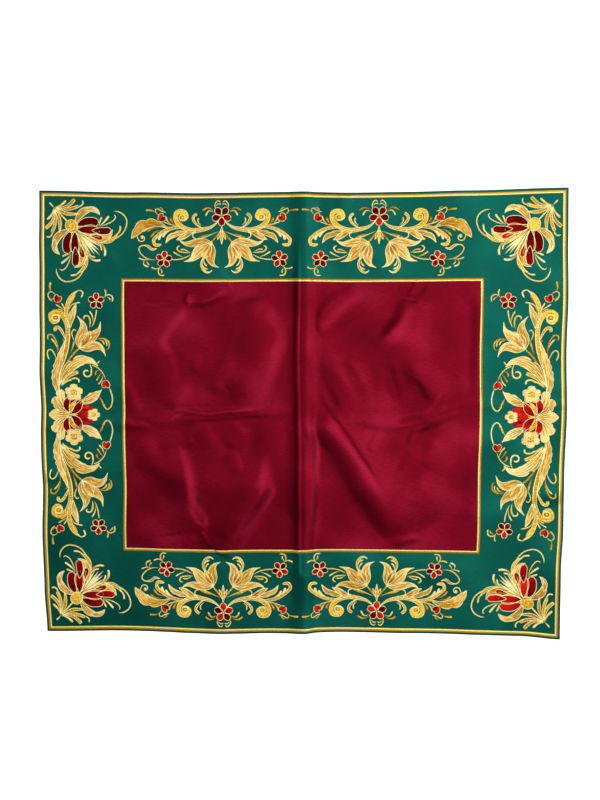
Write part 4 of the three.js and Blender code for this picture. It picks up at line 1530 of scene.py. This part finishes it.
def short_scroll() -> Iterator[Stitching]:
    """The scroll on a short side: y runs outwards to the cloth's edge, x along it from v = 0."""
    cream, gold, beige, red = Spool.CREAM, Spool.GOLD, Spool.BEIGE, Spool.RED
    comma, leaf, blade, stem, drop, claw = (
        Form.COMMA, Form.LEAF, Form.BLADE, Form.STEM, Form.DROP, Form.CLAW
    )
    # Each row: thread, form, width, spine, tone, lobes, veins.
    rows = (
        # Palmette
        (beige, drop, 15, ((-312, 2), (-323, 10), (-332, 23)), 0.5, 4, 3),
        (beige, drop, 13, ((-316, 6), (-322, 20), (-322, 34)), 0.55, 3, 2),
        (beige, leaf, 10, ((-297, 14), (-289, 18), (-281, 20), (-272, 21.4)), 0.5, 2, 1),
        (beige, leaf, 14, ((-294, 16.5), (-286, 21), (-277, 25.4), (-267, 33)), 0.65, 3, 3),
        (cream, comma, 2, ((-272, 29), (-268.5, 31), (-266.5, 35)), 0.7, 0, 0),
        (red, leaf, 10.5, ((-310.5, 2), (-315, 13.5), (-308.5, 27)), 0.45, 0, 0),
        (red, leaf, 11.5, ((-309.5, 0.5), (-300, 8.5), (-293, 21.5)), 0.5, 0, 0),
        # Tendril with its bud
        (
            cream, stem, 2.2,
            ((-271, 26), (-266, 19), (-264, 12), (-259, 7.5), (-254, 12), (-252, 23), (-256, 38)),
            0.6, 0, 0,
        ),
        (gold, comma, 3, ((-270, 25), (-266, 17), (-262, 10)), 0.5, 0, 0),
        (cream, stem, 1.9, ((-260, 47), (-264.6, 57.5), (-271.7, 64.6), (-279, 67.5)), 0.5, 0, 0),
        (gold, comma, 2.6, ((-268, 61), (-273, 59), (-274, 53)), 0.5, 0, 0),
        (gold, comma, 2.6, ((-265, 58), (-269, 53), (-273, 46)), 0.5, 0, 0),
        (cream, comma, 2.4, ((-264, 55), (-266, 47), (-271, 41)), 0.5, 0, 0),
        # Upper beige leaf and its spiral
        (
            beige, leaf, 17,
            ((-323, 40), (-314, 58), (-302, 70), (-289, 75), (-279, 73), (-270, 66)),
            0.6, 4, 4,
        ),
        (gold, leaf, 5, ((-322, 42), (-313, 57), (-301, 65), (-289, 68)), 0.5, 0, 0),
        (cream, comma, 2, ((-279, 70), (-273, 69), (-268, 74)), 0.5, 0, 0),
        (cream, stem, 2.8, ((-283, 72), (-279.5, 64), *spiral((-285.5, 57), 20, -1, 6.5, 2.6)), 0.6, 0, 0),
        (gold, comma, 5, ((-321, 39), (-310, 52), (-297, 58)), 0.5, 0, 0),
        (cream, comma, 3, ((-320, 39), (-310, 46.5), (-302, 49.5), (-297, 47.5), (-297, 43)), 0.55, 0, 0),
        (cream, comma, 2.5, ((-320, 38), (-314, 45), (-306, 47)), 0.5, 0, 0),
        # Main stem
        (beige, leaf, 12.5, ((-322, 22), (-328, 40), (-327.5, 55), (-323, 74), (-315, 101)), 0.5, 10, 0),
        (
            gold, stem, 6.4,
            ((-322, 26), (-324.5, 44.5), (-323, 59), (-317, 76), (-313, 90), (-311.5, 104), (-312, 120),
             (-317, 132), (-322, 138), *spiral((-327.5, 131), 60, 0.75, 9, 6)),
            0.55, 0, 0,
        ),
        (
            cream, stem, 1.3,
            ((-322, 44), (-320, 59), (-314.5, 76), (-311, 90), (-309.5, 104), (-310, 116)),
            0.8, 0, 0,
        ),
        (
            gold, stem, 2.6,
            ((-325, 80), (-325.5, 92), (-329, 103), (-334, 108.5), (-338.5, 107), (-338, 100.5)),
            0.5, 0, 0,
        ),
        (cream, comma, 2.4, ((-325.5, 88), (-329, 97), (-334.5, 103)), 0.6, 0, 0),
        (
            cream, stem, 2.2,
            ((-326, 73), (-330, 83), (-334.5, 88), (-338.5, 86.5), (-339, 81), (-336, 74)),
            0.5, 0, 0,
        ),
        (
            gold, comma, 4.4,
            ((-313, 98), (-318, 110), (-322.7, 117), (-327.5, 118), (-328.6, 112.5)),
            0.5, 0, 0,
        ),
        (gold, comma, 2.6, ((-311, 92), (-315, 99), (-319, 102)), 0.5, 0, 0),
        # Head
        (gold, blade, 6.4, ((-311, 116), (-313.5, 134), (-311, 149), (-305, 161), (-297, 167.5)), 0.55, 0, 0),
        (cream, comma, 2.6, ((-303, 161), (-297, 168), (-290.5, 165.5), (-293, 158)), 0.6, 0, 0),
        (gold, leaf, 3.4, ((-309, 148), (-304, 156), (-300, 163)), 0.6, 0, 0),
        (beige, leaf, 10, ((-308, 117), (-307, 130), (-303, 141), (-299.5, 150)), 0.5, 3, 2),
        (cream, comma, 2.2, ((-310, 138), (-306, 148), (-293.6, 152)), 0.5, 0, 0),
        (cream, stem, 2.2, ((-314, 136), (-316, 144), (-320, 151)), 0.5, 0, 0),
        (cream, comma, 2.2, ((-314, 139), (-320, 144), (-328, 149)), 0.5, 0, 0),
        (cream, comma, 2, ((-314, 136), (-320, 141), (-325, 143)), 0.5, 0, 0),
        (
            cream, stem, 1.8,
            ((-327, 160), (-331, 164.6), (-335.4, 165.6), (-338, 162), (-336.4, 157), (-332, 152.5)),
            0.5, 0, 0,
        ),
        (gold, comma, 3.4, ((-334, 164), (-335.5, 171), (-334.5, 179)), 0.55, 0, 0),
        (gold, comma, 2.2, ((-336, 160), (-333, 155), (-330, 157)), 0.5, 0, 0),
        # Stem beside the tulip
        (gold, comma, 3, ((-308, 82), (-305, 91), (-302.5, 100)), 0.5, 0, 0),
        (cream, stem, 2, ((-302, 99), (-306, 110), (-303, 115.5), (-300, 113)), 0.5, 0, 0),
        (gold, stem, 3, ((-321, 46), (-311, 72), (-302.5, 84), (-294, 91)), 0.5, 0, 0),
        # Tulip
        (beige, drop, 20, ((-295, 90), (-289, 99), (-281, 108)), 0.4, 0, 0),
        (beige, claw, 15, ((-295, 89), (-296, 100), (-291, 112), (-291, 123), (-299, 134)), 0.5, 0, 2),
        (beige, claw, 15, ((-295, 90), (-285, 101), (-275, 109), (-269, 116), (-267, 127)), 0.55, 0, 2),
        (beige, claw, 14, ((-296, 90), (-286, 90), (-276, 94), (-266, 91), (-260, 79)), 0.5, 0, 2),
        (beige, leaf, 13, ((-295, 91), (-289, 99), (-284, 107), (-281, 114)), 0.42, 0, 2),
        (gold, leaf, 3.2, ((-275, 101), (-264.6, 104), (-256, 99), (-256, 91), (-260, 88)), 0.55, 0, 0),
        (cream, comma, 2.4, ((-270, 102), (-264, 100), (-262, 95)), 0.6, 0, 0),
        (cream, comma, 2.2, ((-264, 103), (-259, 99), (-259, 93)), 0.6, 0, 0),
        (cream, stem, 2.6, ((-282, 117), (-281, 127.5), (-284, 134), (-289, 133), (-289, 129)), 0.5, 0, 0),
        (cream, comma, 2.4, ((-277, 125), (-278, 134), (-282, 141)), 0.5, 0, 0),
        (cream, stem, 2, ((-279, 118), (-274, 131), (-272, 143)), 0.5, 0, 0),
        (cream, stem, 2.2, ((-262, 159), (-256, 163), (-250.5, 160), (-251, 153)), 0.5, 0, 0),
        (cream, comma, 2, ((-259, 160), (-255, 158.5), (-253, 155)), 0.5, 0, 0),
        (cream, comma, 2.4, ((-262, 158), (-259.5, 164), (-261, 170.5)), 0.5, 0, 0),
    )
    # The line on the main stem and the petals lie over the rest. The rest takes eight heights in
    # turn, so that strands that cross hardly ever share one.
    line_width, line_over, petal_over, step, steps = 1.3, 0.4, 0.8, 0.02, 8
    for number, (spool, form, width, spine, tone, lobes, veins) in enumerate(rows):
        over = petal_over if spool is red else step * (number % steps)
        over = line_over if width == line_width else over
        yield Stitching(spool, form, width, spine, tone, lobes, veins=veins, over=over)
    yield from knob((-327.5, 131), 6.4)
    yield from flower((-272.3, 154), 11, 90)
    yield from heart((-260.4, 42), 10, 90)
    yield from heart((-325, 156), 9.5, 245)
    yield Stitching(red, drop, 13, ((-309, 3), (-306, 13), (-302, 23)), 0.4, edged=False, over=0.3)
    yield Stitching(gold, leaf, 6.6, ((-311, 2), (-307.5, 11), (-300.5, 20)), 0.55, over=1)
    yield from rosette((-304, 30), 12, 90, clouds=5, over=0.9)


def short_scroll_middle() -> Iterator[Stitching]:
    """The middle of the palmette on a short side."""
    gold, beige, red = Spool.GOLD, Spool.BEIGE, Spool.RED
    yield Stitching(beige, Form.BLADE, 17, ((-309, 0), (-324, 0), (-339.5, 0)), 0.6, veins=3, over=0.1)
    # Wavy red cup: strands that fan out from the palmette's heart, some with painted shade and
    # some with a painted sheen
    cup = (
        (9, ((-306, 2), (-298, 7), (-290, 11.4)), 0.35),
        (8, ((-305, 2), (-294, 7), (-284, 11.6)), 0.7),
        (8.5, ((-303, 1.4), (-291, 5), (-278.5, 9.6)), 0.45),
        (6, ((-304, 0.6), (-294, 2), (-284, 3.4)), 0.7),
    )
    for number, (width, spine, tone) in enumerate(cup):
        row = Stitching(red, Form.DROP, width, spine, tone, 3, edged=False, over=0.1 * number)
        yield from mirrored((row,))
    yield Stitching(gold, Form.LEAF, 3, ((-312, 0), (-306, 0), (-298, 0)), 0.8, over=0.5)
    yield from rosette((-278, 0), 8.6, 0, clouds=5, over=0.6)


@dataclass
class Embroidery:
    """All motifs on the green border, placed in millimetres on the flat cloth."""

    corner: Point = (331, 279)
    long_side: Point = (104, 239)

    def build(self) -> None:
        """Stitches the motifs, family by family, and joins each thread's strands."""
        self.corners()
        self.long_sides()
        self.short_sides()

    def corners(self) -> None:
        """One spray in each corner, from the corner inwards."""
        needle = Needle()
        rows = list(corner_spray())
        for side_u in (-1, 1):
            for side_v in (-1, 1):
                placing = Placing((side_u * self.corner[0], side_v * self.corner[1]), (-side_u, -side_v))
                for row in rows:
                    needle.stitch(row, placing)
        needle.gather("corner_sprays")

    def long_sides(self) -> None:
        """Two scrolls along each long side, with their big leaves towards the corners."""
        needle = Needle()
        half, end, middle = list(long_scroll()), list(long_scroll_end()), list(long_scroll_middle())
        for side_u in (-1, 1):
            for side_v in (-1, 1):
                origin = (side_u * self.long_side[0], side_v * self.long_side[1])
                outwards = Placing(origin, (side_u, 0), side_u * side_v)
                inwards = Placing(origin, (-side_u, 0), -side_u * side_v)
                for row in half + end + middle:
                    needle.stitch(row, outwards)
                for row in half:
                    needle.stitch(row, inwards)
        needle.gather("long_scrolls")

    def short_sides(self) -> None:
        """One scroll along each short side, alike above and below its palmette."""
        needle = Needle()
        half, middle = list(short_scroll()), list(short_scroll_middle())
        for side_u in (-1, 1):
            # The rows are written for the left side, so the right one runs the other way.
            for side_v in (-1, 1):
                placing = Placing((0, 0), (-side_u, 0), -side_u * side_v)
                for row in half:
                    needle.stitch(row, placing)
            for row in middle:
                needle.stitch(row, Placing((0, 0), (-side_u, 0), -side_u))
        needle.gather("short_scrolls")


# The stage

@dataclass
class Stage:
    """A pale floor, soft light mainly from the right, and the camera above the cloth.

    The camera looks at its aim from its distance, tilted towards the cloth's upper edge and a
    little to the right. Distances are millimetres, angles degrees, energies watts.
    """

    floor_colour: str = "#f2f2f0"
    world_colour: str = "#ffffff"
    floor_glow: float = 0.85
    floor_roughness: float = 0.9
    floor_specular: float = 0.1
    floor_size: float = 12000
    floor_drop: float = 0.2
    world_strength: float = 0.18
    lens: float = 50
    sensor: float = 36
    aim: tuple[float, float, float] = (-0.2, 21.2, 0)
    distance: float = 1492
    tilt: float = 4.77
    side: float = 3.42
    # Each light: name, place, what it faces, size, energy.
    lights: tuple[tuple[str, tuple, tuple, float, float], ...] = field(default=(
        ("key", (480, 200, 1450), (0, 0, 0), 1050, 4),
        ("side", (1300, 250, 1400), (0, 0, 0), 800, 3.4),
        ("ceiling", (320, 150, 1500), (0, 0, 0), 1900, 17.5),
        ("left ceiling", (-975, 150, 1500), (0, 0, 0), 1050, 5),
    ))

    def build(self) -> None:
        """Sets the floor, the world, the lights and the camera."""
        self.floor()
        self.light()
        self.camera()

    def floor(self) -> None:
        """A wide plain floor, just under the cloth."""
        deselect_all()
        bpy.ops.mesh.primitive_plane_add(size=self.floor_size * MM, location=(0, 0, -self.floor_drop * MM))
        floor = bpy.context.object
        floor.name = "floor"
        material, _, _ = new_material("matt_white_floor", {
            "Base Color": linear(self.floor_colour),
            "Roughness": self.floor_roughness,
            "Specular IOR Level": self.floor_specular,
            "Emission Color": linear(self.floor_colour),
            "Emission Strength": self.floor_glow,
        })
        floor.data.materials.append(material)

    def light(self) -> None:
        """An even pale world and the softboxes."""
        world = bpy.data.worlds.new("studio")
        bpy.context.scene.world = world
        world.use_nodes = True
        background = world.node_tree.nodes["Background"]
        background.inputs["Color"].default_value = linear(self.world_colour)
        background.inputs["Strength"].default_value = self.world_strength
        for name, place, faces, size, energy in self.lights:
            data = bpy.data.lights.new(name, "AREA")
            data.shape = "SQUARE"
            data.size = size * MM
            data.energy = energy
            lamp = bpy.data.objects.new(name, data)
            bpy.context.scene.collection.objects.link(lamp)
            lamp.location = Vector(place) * MM
            lamp.rotation_euler = (Vector(faces) - Vector(place)).to_track_quat("-Z", "Y").to_euler()
        bpy.context.scene.view_settings.view_transform = "Standard"

    def camera(self) -> None:
        """The camera above the cloth, with the picture's upper side towards +Y."""
        tilt, side = math.radians(self.tilt), math.radians(self.side)
        back = Vector((math.sin(side), math.sin(tilt) * math.cos(side), math.cos(tilt) * math.cos(side)))
        back.normalize()
        up = (Vector((0, 1, 0)) - back * back.y).normalized()
        data = bpy.data.cameras.new("camera")
        data.lens = self.lens
        data.sensor_width = self.sensor
        eye = bpy.data.objects.new("camera", data)
        bpy.context.scene.collection.objects.link(eye)
        axes = Matrix((up.cross(back), up, back)).transposed().to_4x4()
        eye.matrix_world = Matrix.Translation((Vector(self.aim) + back * self.distance) * MM) @ axes
        bpy.context.scene.camera = eye


def main() -> None:
    """Builds every piece on the frame, then the stage."""
    logging.basicConfig(level=logging.INFO, format="%(message)s")
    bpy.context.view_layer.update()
    for cloth in (GROUND, PANEL):
        cloth.dress(cloth.build())
    for braid in (OUTER_BRAID, INNER_BRAID):
        braid.dress(braid.build())
    Embroidery().build()
    Stage().build()


if __name__ == "__main__":
    main()
